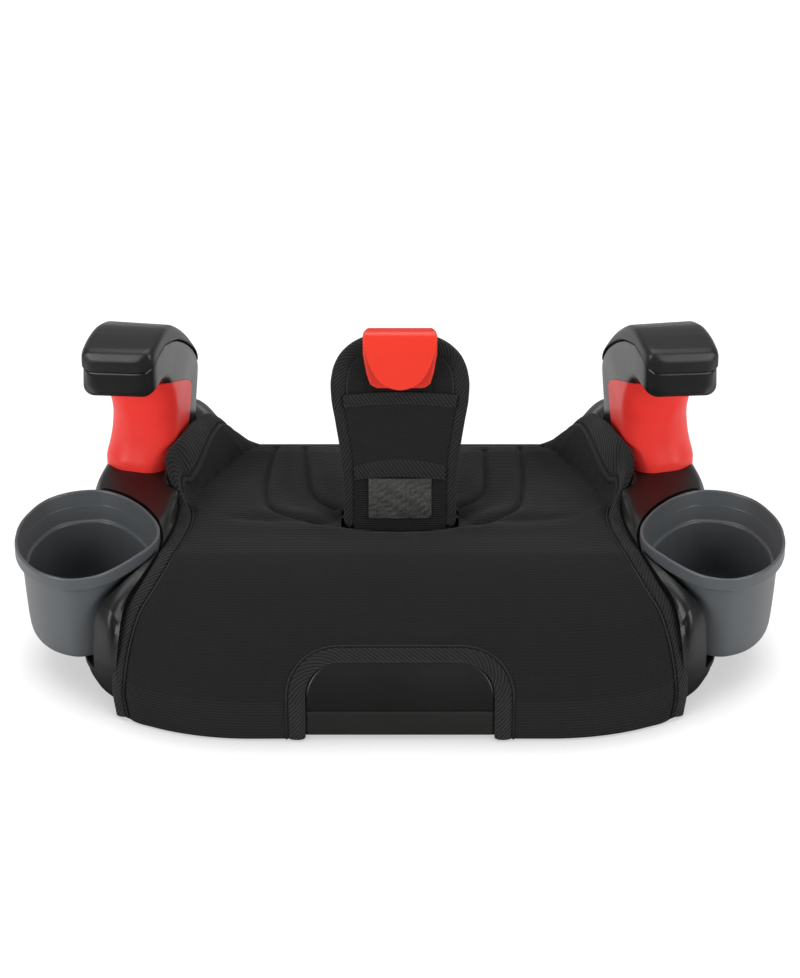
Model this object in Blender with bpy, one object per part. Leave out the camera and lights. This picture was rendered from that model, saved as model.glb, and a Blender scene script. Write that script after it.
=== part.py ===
"""Backless booster seat: moulded base, fabric seat, goose-neck armrests, lift-out cups and a crotch tether.

Lengths are millimetres in the tables below and metres in the scene. X is across, Y runs from the front
edge (negative) to the rear, Z is up, and the floor is Z = 0. A `depth` is measured back from the front edge.
"""

import math

import bmesh
import bpy
from mathutils import Vector

MM = 0.001
GAP = 0.3  # clearance between pieces that touch

# Base footprint
HALF_WIDTH = 224.0
DEPTH = 340.0
REAR_DRAW_IN = 9.0  # how much narrower each side is behind the arms
LIP_RISE = 4.0  # how far the shell's lip stands above the fabric beside it
FRONT_Y = -170.0
FRONT_FLAT = 105.0  # half length of the straight front edge
FRONT_CORNER = (119.0, 72.0)  # ellipse semi-axes of a front corner
REAR_FLAT = 134.0
REAR_CORNER = (90.0, 80.0)
PARTING_Z = 25.0
WALL_TOP = 35.0  # where the front wall starts to roll over
SHELL_WALL = 3.0
TRAY_BOTTOM = 2.0  # the rubber feet stand this far below the tray
SHELL_ROWS = [0, 1.2, 5, 11, 19, 29, 42, 58, 76, 95, 115, 135, 150, 158, 165, 173, 181, 190, 200, 212, 224,
              238, 255, 270,
              282, 290, 298, 308, 320, 331, 337, 340]
SHOULDER_SHARES = (0.25, 0.5, 0.66, 0.77, 0.86, 0.92, 0.96, 0.985,
                   1.0)  # columns between the lip and the side
HOLLOW_ROWS = [8, 14, 22, 34, 50, 72, 96, 120, 145, 170, 195, 220, 245, 268, 290, 308, 322, 332]

# Fixings, as (x, y) of their centres
SCREW_SPOTS = [(-120, -140), (120, -140), (-188, 90), (188, 90), (-95, 98), (95, 98)]
FOOT_SPOTS = [(-150, -112), (150, -112), (-150, 110), (150, 110)]

# Seat top: height falls from front to rear
SEAT_HIGH = 97.5
SEAT_FALL = 0.147
FALL_START = 90.0

# Roll-over profiles: (distance in from the rim, height)
FRONT_ROLL = [(0, 35), (1.2, 38), (7, 52), (15.5, 66), (27, 78), (44, 87), (64, 94), (84, 97), (105, 97.5)]
BULGE_ROLL = [(0, 72), (1.5, 82), (4, 87), (8, 90.5), (15, 93.5), (30, 96.5), (60, 100), (100, 103),
              (140, 107.5), (150, 108)]
BOX_ROLL = [(0, 62), (1.5, 82), (4, 97), (8, 105), (13, 108), (90, 108)]
HIP_ROLL = [(0, 30), (8, 44), (22, 64), (40, 88), (54, 105), (66, 114), (80, 118)]
REAR_ROLL = [(0, 31), (8, 34), (27, 42), (42, 51.5), (58, 61.5), (70, 68), (85, 71)]

# Side bolsters of the seat: (depth, half width where the rise starts / ends, rise)
BOLSTER_INNER = [(120, 160), (155, 153), (192, 143), (226, 126), (264, 108), (290, 96)]
BOLSTER_OUTER = [(120, 168), (150, 159), (158, 160), (164, 165), (171, 168), (180, 166.5), (190, 161),
                 (212, 155), (262, 143.5),
                 (290, 137)]
BOLSTER_RISE = [(115, 0), (145, 2), (156, 7), (164, 23), (172, 35), (182, 42), (195, 45), (215, 44),
                (237, 39), (255, 34),
                (270, 27), (285, 14), (300, 0)]

# Cover: half width of its edge at stations measured along the seat from the front rim
COVER_EDGE = [(-35, 199.5), (-12, 202), (0, 201), (8, 198.5), (20, 194.5), (35, 189.5), (55, 181.5),
              (80, 172.5), (110, 164.5),
              (140, 159), (155, 157.5), (160, 161), (166, 166.5), (173, 168), (181, 166), (190,
                                                                                           160.5), (212,
                                                                                                    154.5), (262, 143),
              (276, 137), (288, 126)]
COVER_REAR = 288.0
COVER_THICK = 3.6
TIP_SPOT = (162.8, -6.6)  # where the cover tucks in under the front tip of a bolster
TIP_RELIEF = 3.4
FOAM_THICK = 11.0
HEM_Z = 2.0
COVER_ROWS = [HEM_Z - WALL_TOP, -24, -12, 0, 3, 8, 14, 21, 29, 38, 49, 62, 78, 96, 116, 132, 145, 152, 158,
              164, 170,
              177, 186, 198, 212, 228, 245, 259, 270, 280, COVER_REAR]
FOAM_ROWS = [48, 58, 70, 84, 100, 118, 136, 154, 172, 190, 208, 226, 242, 254, 264, 272]

# Front plate and its cut-out in the cover
PLATE_HALF = 64.5
PLATE_TOP = 58.0
PLATE_RADIUS = 22.0
CUTOUT_HALF = 67.0
CUTOUT_TOP = 60.5

# Well where the tether comes through the seat
WELL_HALF = 46.0
WELL_FRONT = 131.0
WELL_REAR = 158.0

# Cup holders: centre, and radius by angle from the inboard direction (positive towards the rear)
CUP_X = 216.0
CUP_DEPTH = 102.0
CUP_RADIUS = [(-180, 55.5), (-150, 58), (-125, 59.5), (-108, 59), (-88, 54), (-70, 47.5), (-55, 43.8),
              (-40, 42.5), (-24, 44),
              (-8, 46), (8, 46.5), (30, 46), (50, 47.5), (70, 51.5), (91, 56), (127, 57.5), (155,
                                                                                             55.5), (180,
                                                                                                     55.5)]
CUP_TOP = 106.0
CUP_FOOT = 30.0
CUP_PROFILE = [(15, 30), (10.5, 31.6), (8.2, 36), (7.2, 44), (4.4, 95), (0.8, 96.2), (0, 97.5), (0, 104.6),
               (0.8, 106), (2.1, 106),
               (2.9, 104.8), (3.4, 93.8), (6.8, 92), (9.6, 44), (10.8, 37), (15, 33.4), (24, 32.8)]
POCKET_GAP = 2.2
POCKET_FLOOR = 29.6

# Armrests: local frame (run back from the front tip, height), toed out
ARM_X = 198.0
ARM_DEPTH = 137.0
ARM_TOE = math.radians(13.0)
ARM_SKEW = 0.04  # how far the front face turns back towards straight ahead
ARM_ROLL = 0.08  # how far the top leans outwards
SEAM = [(0, 218.4), (5, 220.6), (14, 222.6), (28, 222.4), (45, 216.6), (62, 208.9), (80, 197.9), (99, 183),
        (112, 170.5),
        (121, 159), (126, 147), (128.5, 130), (129.5, 117), (129.5, 108.6)]
UNDER = [(0, 199.8), (2, 197.2), (10, 195.4), (24, 193.9), (36, 187.4), (43.5, 178.5), (47.5, 167.5),
         (49.5, 155), (50, 145),
         (49.3, 136), (48, 127), (45.5, 118), (43.5, 112), (43, 108.6)]
ARM_HALF = [21.5, 25, 26.1, 26.1, 25.9, 25.6, 25.2, 24.8, 24.4, 24.1, 24.1, 24.4, 24.8, 25]
ARM_SHIFT = [0, 0, 0, 0, 0, 0, -0.2, -0.3, 0.1, 0.7, 1.4, 2.6, 3.8, 4.4]
CROWN = [(0, 229.5), (2.2, 232.6), (8, 234.6), (20, 234.9), (29, 234.2), (38, 232.7), (55, 225.8),
         (72, 214.4), (90, 200),
         (106, 182.6), (117, 168.4), (124, 157), (126.5, 151)]
CROWN_FOOT = [(0, 219), (2, 220), (8, 221.8), (18, 223.4), (27.5, 223), (34, 221.4), (50, 215), (66, 207.4),
              (83, 196.2),
              (100, 182.9), (112.5, 171.1), (121.3, 159.4), (124.8, 151.6)]
CROWN_HALF = [21.5, 25, 26.4, 26.8, 26.8, 26.8, 26.8, 26.6, 26.2, 25.7, 25, 23.4, 20.2]
GUIDE_SEAM = [(16, 194.8), (37.6, 189), (71, 171.5), (92, 159), (103, 151), (106, 145), (104.5, 133),
              (99, 109), (16, 109)]
GUIDE_SKIN = 3.0
TENON_FOOT = 62.0
POST_SCREWS = [68.0, 108.0]  # run of each post screw

# Tether: hinge line, lean, panel outline as (distance up from the hinge, half width)
TETHER_DEPTH = 139.0
TETHER_Z = 88.0
TETHER_LEAN = math.radians(20.0)
TETHER_HINGE = (0.0, TETHER_DEPTH + FRONT_Y, TETHER_Z)
PAD_SHAPE = [(-3, 36), (-1.5, 38.8), (4, 40.2), (25, 40.4), (50, 42.4), (75, 46.2), (92, 49), (102, 49.5),
             (112, 48.2), (122, 44.3),
             (130, 37.5), (136, 27.8), (139.5, 14.6), (140, 0)]
PAD_BACK = 5.5
PAD_FRONT = -3.5
SLEEVE_SPAN = (36.0, 98.0)
STRAP_HALF = 33.0
STRAP_FRONT = -2.8
STRAP_BACK = -0.6
CLIP_BACK = STRAP_FRONT - GAP  # rear face of the clip's back plate
RIVET_UP = 110.0
RIVET_X = (-11.0, 11.0)
ANCHOR_Z = 54.0  # height of the steel bar that the strap goes round
CLIP_HALF = 26.5
CLIP_TOP = 145.5
CLIP_WALL = 2.8
CLIP_MOUTH = 9.0  # room for the folded lap belt between the plates
FLAP_HALF = 24.5
FLAP_FOOT = 102.5
FLAP_ROUND = 20.0

COLOURS = {
    "shell": ((0.010, 0.010, 0.011), 0.32),
    "tray": ((0.016, 0.016, 0.017), 0.45),
    "knit": ((0.018, 0.018, 0.019), 0.92),
    "foam": ((0.55, 0.55, 0.56), 0.95),
    "cup": ((0.125, 0.137, 0.150), 0.42),
    "arm": ((0.030, 0.030, 0.031), 0.38),
    "pad": ((0.022, 0.022, 0.023), 0.55),
    "red": ((0.72, 0.030, 0.024), 0.30),
    "web": ((0.014, 0.014, 0.015), 0.85),
    "vinyl": ((0.040, 0.041, 0.038), 0.60),
    "steel": ((0.55, 0.56, 0.57), 0.35),
    "rubber": ((0.020, 0.020, 0.020), 0.80),
}


def clear_scene():
    """Empties the scene."""
    for obj in list(bpy.data.objects):
        bpy.data.objects.remove(obj, do_unlink=True)


def make_materials():
    """One Principled material per finish."""
    made = {}
    for name, (rgb, rough) in COLOURS.items():
        mat = bpy.data.materials.new(name)
        mat.use_nodes = True
        shader = mat.node_tree.nodes["Principled BSDF"]
        shader.inputs["Base Color"].default_value = (*rgb, 1.0)
        shader.inputs["Roughness"].default_value = rough
        shader.inputs["Metallic"].default_value = 1.0 if name == "steel" else 0.0
        made[name] = mat
    return made


def curve(points, t):
    """Monotone cubic through (t, value) pairs, flat outside them."""
    if t <= points[0][0]:
        return points[0][1]
    if t >= points[-1][0]:
        return points[-1][1]
    last = len(points) - 1
    slope = [(points[i + 1][1] - points[i][1]) / (points[i + 1][0] - points[i][0]) for i in range(last)]
    k = max(i for i in range(last) if points[i][0] <= t)

    def tangent(i):
        if i == 0 or i == last:
            return slope[0] if i == 0 else slope[-1]
        low, high = slope[i - 1], slope[i]
        return 0.0 if low * high <= 0 else 2 * low * high / (low + high)

    run = points[k + 1][0] - points[k][0]
    s = (t - points[k][0]) / run
    low, high = points[k][1], points[k + 1][1]
    return (low * (1 + 2 * s) * (1 - s) ** 2 + run * tangent(k) * s * (1 - s) ** 2
            + high * s * s * (3 - 2 * s) + run * tangent(k + 1) * s * s * (s - 1))


def ease(t):
    """Smooth step from 0 to 1."""
    t = min(1.0, max(0.0, t))
    return t * t * (3 - 2 * t)


# ---------------------------------------------------------------- seat surface

def corner_cut(x, flat, axes):
    """How far the footprint's edge curves away from its straight end at this half width."""
    run = min(1.0, max(0.0, abs(x) - flat) / axes[0])
    return axes[1] * (1 - math.sqrt(1 - run * run))


def rim_points():
    """Right half of the footprint's edge, from the front centre to the rear centre, as (x, depth)."""
    points = [(FRONT_FLAT * i / 6, 0.0) for i in range(6)]
    for i in range(18):
        turn = -math.pi / 2 + math.pi / 2 * i / 18
        points.append((FRONT_FLAT + FRONT_CORNER[0] * math.cos(turn),
                       FRONT_CORNER[1] * (1 + math.sin(turn))))
    side = DEPTH - REAR_CORNER[1] - FRONT_CORNER[1]
    points += [(HALF_WIDTH, FRONT_CORNER[1] + side * i / 8) for i in range(8)]
    for i in range(14):
        turn = math.pi / 2 * i / 14
        points.append((REAR_FLAT + REAR_CORNER[0] * math.cos(turn),
                       DEPTH - REAR_CORNER[1] * (1 - math.sin(turn))))
    points += [(REAR_FLAT * (1 - i / 6), DEPTH) for i in range(7)]
    return points


RIM = rim_points()


def seat_fall(depth):
    """Height of the seat's middle line."""
    return SEAT_HIGH - SEAT_FALL * max(0.0, depth - FALL_START)


def lower_of(heights, blend=2.5):
    """The lowest of several heights, with the crease between them rounded."""
    floor = min(heights)
    return floor - blend * math.log(sum(math.exp((floor - h) / blend) for h in heights))


def seat_height(x, depth):
    """Height of the fabric over the base."""
    inset = depth - corner_cut(x, FRONT_FLAT, FRONT_CORNER)
    front = curve(FRONT_ROLL, inset) / FRONT_ROLL[-1][1]
    rear = curve(REAR_ROLL, DEPTH - corner_cut(x, REAR_FLAT, REAR_CORNER) - depth) / REAR_ROLL[-1][1]
    inner = curve(BOLSTER_INNER, depth)
    outer = curve(BOLSTER_OUTER, depth)
    rise = curve(BOLSTER_RISE, depth) * ease((abs(x) - inner) / (outer - inner))
    return seat_fall(depth) * front * rear + rise


def shoulder_height(x, depth):
    """Height of the bare shell outside the fabric: tall round the cups, flat at the arm pedestals."""
    inset = depth - corner_cut(x, FRONT_FLAT, FRONT_CORNER)
    rear = DEPTH - corner_cut(x, REAR_FLAT, REAR_CORNER) - depth
    tall = lower_of([curve(BULGE_ROLL, inset), curve(BOX_ROLL, HALF_WIDTH - abs(x)), curve(HIP_ROLL, rear)])
    edge = curve(COVER_EDGE, depth)
    if depth > 150:
        share = ease((abs(x) - edge + 12 * ease((depth - 270) / 30)) / (2 + 36 * ease((depth - 262) / 30)))
        tucked = 3.0 * (1 - ease((depth - 264) / 18))
        return share * tall + (1 - share) * (seat_height(x, depth) - tucked)
    share = ease((abs(x) - edge) / (8 - 4 * ease((depth - 60) / 80)))
    low = seat_height(x, depth) + LIP_RISE
    return min(share * tall + (1 - share) * low, max(tall, low))


def row_depth(x, station):
    """Depth at half width x of the row that starts `station` in from the front rim."""
    station = max(0.0, station)
    front = corner_cut(x, FRONT_FLAT, FRONT_CORNER) * (1 - ease(station / 120))
    rear = corner_cut(x, REAR_FLAT, REAR_CORNER) * ease((station - 180) / 160)
    return station + front - rear


def fabric_point(x, station):
    """Point of the fabric surface; a negative station is that far below the top of the front wall."""
    depth = row_depth(x, station)
    if station <= 0:
        return Vector((x, depth, WALL_TOP + station))
    return Vector((x, depth, seat_height(x, depth)))


def fabric_normal(x, station):
    """Outward direction of the fabric surface."""
    step = 1.5
    across = fabric_point(x + step, station) - fabric_point(x - step, station)
    along = fabric_point(x, station + step) - fabric_point(x, station - step)
    return across.cross(along).normalized()


def drawn_in(x, depth):
    """Half width after the sides draw in towards the rear."""
    return x - math.copysign(REAR_DRAW_IN, x) * ease((depth - 170) / 50) * ease((abs(x) - 185) / 36)


def placed(point):
    """(x, depth, z) to scene millimetres."""
    return Vector((point[0], point[1] + FRONT_Y, point[2]))


# ---------------------------------------------------------------- mesh helpers

def make_object(name, points, faces, material, smooth=True, origin=(0.0, 0.0, 0.0)):
    """A mesh object from scene millimetres, with its origin where a moving piece turns or slides."""
    mesh = bpy.data.meshes.new(name)
    mesh.from_pydata([tuple((c - o) * MM for c, o in zip(p, origin)) for p in points], [], faces)
    work = bmesh.new()
    work.from_mesh(mesh)
    bmesh.ops.remove_doubles(work, verts=work.verts, dist=1e-7)
    bmesh.ops.recalc_face_normals(work, faces=work.faces)
    work.to_mesh(mesh)
    work.free()
    mesh.materials.append(material)
    for polygon in mesh.polygons:
        polygon.use_smooth = smooth
    obj = bpy.data.objects.new(name, mesh)
    obj.location = [c * MM for c in origin]
    bpy.context.scene.collection.objects.link(obj)
    return obj


def loft(rings):
    """Points and faces of a closed skin through rings of equal length, with a face over each end."""
    count = len(rings[0])
    points = [p for ring in rings for p in ring]
    faces = []
    for i in range(len(rings) - 1):
        for j in range(count):
            k = (j + 1) % count
            faces.append((i * count + j, i * count + k, (i + 1) * count + k, (i + 1) * count + j))
    faces.append(tuple(range(count)))
    faces.append(tuple(range((len(rings) - 1) * count, len(rings) * count)))
    return points, faces


def sheet(top, bottom):
    """Closed skin between two equal grids of points, in triangles split alike on both and mirrored at the middle."""
    rows, cols = len(top), len(top[0])
    points = [p for row in top for p in row] + [p for row in bottom for p in row]
    base = rows * cols
    faces = []
    for i in range(rows - 1):
        for j in range(cols - 1):
            a = i * cols + j
            b, c, d = a + 1, a + cols + 1, a + cols
            halves = [(a, b, c), (a, c, d)] if 2 * j < cols - 1 else [(a, b, d), (b, c, d)]
            faces += halves
            faces += [tuple(base + k for k in reversed(half)) for half in halves]
    rim = [j for j in range(cols)] + [i * cols + cols - 1 for i in range(1, rows)]
    rim += [(rows - 1) * cols + j for j in range(cols - 2, -1, -1)] + [i * cols for i in range(rows - 2, 0,
                                                                                               -1)]
    for k, a in enumerate(rim):
        b = rim[(k + 1) % len(rim)]
        faces.append((b, a, base + a, base + b))
    return points, faces


def shape(obj, operation, other):
    """Boolean of one object with another, which stays as a hidden helper."""
    other.hide_render = True
    other.display_type = "WIRE"
    step = obj.modifiers.new(operation.lower(), "BOOLEAN")
    step.operation = operation
    step.object = other
    step.solver = "EXACT"


def rounded_box(name, low, high, radius, material, axis=2):
    """A box with its four edges along one axis rounded."""
    first, second = [i for i in range(3) if i != axis]
    ring = []
    for cx, cy, start in ((1, 1, 0), (0, 1, 90), (0, 0, 180), (1, 0, 270)):
        for i in range(5):
            turn = math.radians(start + 22.5 * i)
            x = (high[first] - radius if cx else low[first] + radius) + radius * math.cos(turn)
            y = (high[second] - radius if cy else low[second] + radius) + radius * math.sin(turn)
            ring.append((x, y))
    rings = []
    for level in (low[axis], high[axis]):
        row = []
        for x, y in ring:
            spot = [0.0, 0.0, 0.0]
            spot[first], spot[second], spot[axis] = x, y, level
            row.append(spot)
        rings.append(row)
    return make_object(name, *loft(rings), material, smooth=False)


def turned(name, profile, centre, material, sides=20):
    """A solid of revolution about the vertical from (radius, z) pairs."""
    rings = []
    for radius, z in profile:
        ring = [(centre[0] + radius * math.cos(2 * math.pi * i / sides),
                 centre[1] + radius * math.sin(2 * math.pi * i / sides), z) for i in range(sides)]
        rings.append(ring)
    return make_object(name, *loft(rings), material, origin=(*centre[:2], profile[0][1]))


# ---------------------------------------------------------------- base

def base_outline(levels):
    """Rings round the whole footprint at (z, inset) pairs."""
    half = RIM[:-1]
    whole = half + [(0.0, DEPTH)] + [(-x, y) for x, y in reversed(half[1:])]
    rings = []
    for z, inset in levels:
        ring = []
        for i, (x, y) in enumerate(whole):
            ax, ay = whole[i - 1]
            bx, by = whole[(i + 1) % len(whole)]
            size = math.hypot(bx - ax, by - ay)
            ring.append(placed((drawn_in(x, y) - (by - ay) / size * inset, y + (bx - ax) / size * inset,
                                z)))
        rings.append(ring)
    return rings


def build_lower_shell(mats, soft_space):
    """Tray under the parting line, with the screws' posts left solid and a hole for the stem of each foot."""
    profile = [(TRAY_BOTTOM, 17), (4.5, 12), (9, 6), (17, 2.4), (PARTING_Z - GAP, 1.0)]
    tray = make_object("lower_shell", *loft(base_outline(profile)), mats["tray"])
    floor = TRAY_BOTTOM + SHELL_WALL
    hollow = make_object("tray_hollow", *loft(base_outline([(floor, 22), (12, 9), (40, 5)])), mats["tray"])
    for n, spot in enumerate(SCREW_SPOTS):
        post = turned(f"tray_post_{n}", [(7, -5), (7, 60)], spot, mats["tray"], 12)
        shape(hollow, "DIFFERENCE", post)
    shape(tray, "DIFFERENCE", hollow)
    shape(tray, "DIFFERENCE", soft_space[0])
    for n, spot in enumerate(SCREW_SPOTS):
        bore = turned(f"tray_bore_{n}", [(5.2, -5), (5.2, 9), (2.6, 9.01), (2.6, 60)], spot, mats["tray"],
                      12)
        shape(tray, "DIFFERENCE", bore)
    for n, spot in enumerate(FOOT_SPOTS):
        hole = turned(f"foot_hole_{n}", [(5.3, -5), (5.3, 20)], spot, mats["tray"], 16)
        shape(tray, "DIFFERENCE", hole)
    return tray


def shell_columns(station):
    """Half widths of the shell's columns on one side of one row: under the cover, the lip, the shoulder."""
    edge = curve(COVER_EDGE, station)
    lip = edge + (2.6 if station <= 0 else 3.2)
    outside = [lip + (HALF_WIDTH - lip) * share for share in SHOULDER_SHARES]
    return [edge * i / 8 for i in range(9)] + [edge + 1.5, lip] + outside


def shell_grid():
    """Top surface of the shell as rows of points."""
    rows = []
    for station in SHELL_ROWS:
        half = shell_columns(station)
        rows.append([shell_point(x, station) for x in [-h for h in reversed(half[1:])] + half])
    return rows


def hollow_grid():
    """Top surface of the space inside the shell: below everything within reach of each point."""
    reach = 7.0
    soft = COVER_THICK + FOAM_THICK + 4 * GAP
    rows = []
    for station in HOLLOW_ROWS:
        row = []
        for share in (0, 0.2, 0.4, 0.55, 0.66, 0.76, 0.85, 0.92, 0.97):
            x = share * HALF_WIDTH
            depth = row_depth(x, station)
            around = [(x + dx, depth + dy) for dx in (-reach, 0, reach) for dy in (-reach, 0, reach)]
            low = min(min(seat_height(*spot) - soft, shoulder_height(*spot)) for spot in around)
            row.append((drawn_in(x, depth), depth, max(PARTING_Z - 3, low - SHELL_WALL)))
        rows.append([placed((-x, depth, z)) for x, depth,
                     z in reversed(row[1:])] + [placed(p) for p in row])
    return rows


def shell_point(x, station):
    """Point of the shell's outer skin."""
    depth = row_depth(x, station)
    return placed((drawn_in(x, depth), depth, shoulder_height(x, depth)))


def closed_shell(name, rows, floor, material):
    """Closed skin under a grid, down to a flat floor."""
    bottom = [[Vector((p[0], p[1], floor)) for p in row] for row in rows]
    return make_object(name, *sheet(rows, bottom), material)


def cup_ring(side, inset, z, count=40):
    """Ring of the cup's egg-shaped plan."""
    ring = []
    for i in range(count):
        turn = -180 + 360 * i / count
        radius = curve(CUP_RADIUS, turn) - inset
        angle = math.radians(turn)
        x = side * (CUP_X - radius * math.cos(angle))
        ring.append(placed((x, CUP_DEPTH + radius * math.sin(angle), z)))
    return ring


def build_upper_shell(mats, soft_space):
    """Upper moulding: hollow body, cup pockets, arm sockets, tether slot and front plate."""
    shell = closed_shell("upper_shell", shell_grid(), PARTING_Z, mats["shell"])
    hollow = closed_shell("shell_hollow", hollow_grid(), PARTING_Z - 6, mats["shell"])
    for side, word in ((-1, "left"), (1, "right")):
        keep = make_object(f"pocket_wall_{word}", *loft([cup_ring(side, -POCKET_GAP - 3, z) for z in (5,
                                                                                                      130)]), mats["shell"])
        shape(hollow, "DIFFERENCE", keep)
        block = make_object(f"socket_wall_{word}", *loft(arm_rings(side, 5.0, TENON_FOOT - 6)),
                            mats["shell"])
        shape(hollow, "DIFFERENCE", block)
    for n, (x, y) in enumerate(SCREW_SPOTS):
        post = turned(f"shell_post_{n}", [(6.5, -5), (6.5, 150)], (x, y), mats["shell"], 12)
        shape(hollow, "DIFFERENCE", post)
    bar = rounded_box("bar_wall", (-52, TETHER_DEPTH + FRONT_Y - 14, 44),
                      (52, TETHER_DEPTH + FRONT_Y + 14, 120), 4, mats["shell"])
    shape(hollow, "DIFFERENCE", bar)
    shape(shell, "DIFFERENCE", hollow)
    shape(shell, "DIFFERENCE", soft_space[0])
    shape(shell, "DIFFERENCE", soft_space[1])
    for side, word in ((-1, "left"), (1, "right")):
        relief = turned(f"tip_relief_{word}", [(TIP_RELIEF, 90), (TIP_RELIEF, 112)],
                        (side * TIP_SPOT[0], TIP_SPOT[1]), mats["shell"])
        shape(shell, "DIFFERENCE", relief)
        pocket = make_object(f"pocket_{word}", *loft([cup_ring(side, -POCKET_GAP, z) for z in (POCKET_FLOOR,
                                                                                               150)]), mats["shell"])
        shape(shell, "DIFFERENCE", pocket)
        socket = make_object(f"socket_{word}", *loft(arm_rings(side, 0.4, TENON_FOOT)), mats["shell"])
        shape(shell, "DIFFERENCE", socket)
        for n, spot in enumerate(POST_SCREWS):
            x, y = arm_spot(side, spot, 0.0)
            bore = turned(f"post_bore_{word}_{n}", [(2.4, TENON_FOOT - 20), (2.4, TENON_FOOT + 5)], (x, y),
                          mats["shell"], 12)
            shape(shell, "DIFFERENCE", bore)
    for n, (x, y) in enumerate(SCREW_SPOTS):
        bore = turned(f"shell_bore_{n}", [(2.0, -5), (2.0, 46)], (x, y), mats["shell"], 12)
        shape(shell, "DIFFERENCE", bore)
    slot_y = TETHER_DEPTH + FRONT_Y
    slot = rounded_box("strap_slot", (-36, slot_y - 6, 40), (36, slot_y + 6, 130), 2, mats["shell"])
    shape(shell, "DIFFERENCE", slot)
    bore = rounded_box("bar_bore", (-45, slot_y - 3.4, ANCHOR_Z - 3.4), (45, slot_y + 3.4, ANCHOR_Z + 3.4),
                       3.2, mats["shell"], 0)
    shape(shell, "DIFFERENCE", bore)
    plate = rounded_box("front_plate", (-PLATE_HALF, FRONT_Y + 0.4, -PLATE_RADIUS),
                        (PLATE_HALF, FRONT_Y + 16, PLATE_TOP),
                        PLATE_RADIUS, mats["shell"], 1)
    trim = rounded_box("plate_trim", (-80, FRONT_Y - 5, -60), (80, FRONT_Y + 40, PARTING_Z), 2,
                       mats["shell"])
    shape(plate, "DIFFERENCE", trim)
    shape(shell, "UNION", plate)
    return shell


# ---------------------------------------------------------------- seat

def cover_grid(station, edge, depth_below):
    """One row of the cover's surface, `depth_below` under the fabric."""
    half = [edge * s for s in (0, 0.12, 0.25, 0.38, 0.5, 0.6, 0.7, 0.78, 0.84, 0.89, 0.94, 1.0)]
    row = []
    for x in [-h for h in reversed(half[1:])] + half:
        row.append(placed(fabric_point(x, station) - fabric_normal(x, station) * depth_below))
    return row


def build_seat_cover(mats):
    """Knit cover: down the front wall, over the seat and up the bolsters, with the plate cut-out and the well."""
    top = [cover_grid(station, curve(COVER_EDGE, station), 0.0) for station in COVER_ROWS]
    bottom = [cover_grid(station, curve(COVER_EDGE, station), COVER_THICK) for station in COVER_ROWS]
    cover = make_object("seat_cover", *sheet(top, bottom), mats["knit"])
    cutout = rounded_box("cover_cutout", (-CUTOUT_HALF, FRONT_Y - 20, -CUTOUT_TOP),
                         (CUTOUT_HALF, FRONT_Y + 30, CUTOUT_TOP),
                         PLATE_RADIUS + 3, mats["knit"], 1)
    shape(cover, "DIFFERENCE", cutout)
    shape(cover, "DIFFERENCE", well_cutter("cover_well", 0.0, mats))
    return cover


def build_soft_space(mats):
    """Cutters that make room in the base for the cover and for the foam."""
    top, bottom = [], []
    for station in [COVER_ROWS[0] - 9] + COVER_ROWS[1:]:
        over = ease(station / 30)
        lift = Vector((0.0, -25.0 * (1 - over), 45.0 * over))
        edge = curve(COVER_EDGE, station)
        face = cover_grid(station, edge, 0.0)
        under = cover_grid(station, edge, COVER_THICK + GAP)
        left = (face[0] - face[1]).normalized() * 2 * GAP
        right = (face[-1] - face[-2]).normalized() * 2 * GAP
        corners = face[0] + left * 1.5, face[-1] + right * 1.5
        upper = [corners[0], face[0] + left] + face[1:-1] + [face[-1] + right, corners[1]]
        top.append([point + lift for point in upper])
        bottom.append([corners[0], under[0] + left] + under[1:-1] + [under[-1] + right, corners[1]])
    behind = Vector((0.0, 1.5 * GAP, 0.0))
    bottom.append([point + behind for point in bottom[-1]])
    bottom.append([point + behind * 2 - lift for point in top[-1]])
    top += [[point + behind * step for point in top[-1]] for step in (1, 2)]
    cover_space = make_object("cover_space", *sheet(top, bottom), mats["knit"])
    foam_space = make_object("foam_space", *sheet(*foam_grids(2 * GAP, 12.0)), mats["foam"])
    return cover_space, foam_space


def foam_grids(grow, rise):
    """Top and bottom grids of the foam, grown for the room that it needs in the shell."""
    top, bottom = [], []
    for station in FOAM_ROWS:
        end = {FOAM_ROWS[0]: -grow, FOAM_ROWS[-1]: grow}.get(station, 0.0)
        edge = min(curve(COVER_EDGE, station) - 12, curve(BOLSTER_INNER, station) - 3) + grow
        thick = FOAM_THICK * ease((station - 40) / 12) * ease((COVER_REAR - 8 - station) / 10)
        upper, lower = [], []
        for x in [edge * s / 9 for s in range(-9, 10)]:
            side = ease((edge + 4 - abs(x)) / 10)
            face = fabric_point(x, station + end) - fabric_normal(x, station) * (COVER_THICK + 3 * GAP)
            point = placed(face)
            upper.append(point + Vector((0.0, 0.0, rise)))
            lower.append(point - Vector((0.0, 0.0, max(1.0, thick * side) + grow)))
        top.append(upper)
        bottom.append(lower)
    return top, bottom


def well_cutter(name, grow, mats):
    """Opening for the tether through the soft layers."""
    low = (-WELL_HALF - grow, WELL_FRONT + FRONT_Y - grow, 40)
    high = (WELL_HALF + grow, WELL_REAR + FRONT_Y + grow, 150)
    return rounded_box(name, low, high, 10, mats["foam"])


def build_seat_foam(mats):
    """Foam between the cover and the shell."""
    foam = make_object("seat_foam", *sheet(*foam_grids(0.0, 0.0)), mats["foam"])
    shape(foam, "DIFFERENCE", well_cutter("foam_well", 2.0, mats))
    return foam


# ---------------------------------------------------------------- cups

def build_cup(side, word, mats):
    """Lift-out cup with a stepped lip."""
    rings = [cup_ring(side, inset, z) for inset, z in CUP_PROFILE]
    origin = placed((side * CUP_X, CUP_DEPTH, CUP_FOOT))
    return make_object(f"cup_holder_{word}", *loft(rings), mats["cup"], origin=origin)


# ---------------------------------------------------------------- armrests

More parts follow.
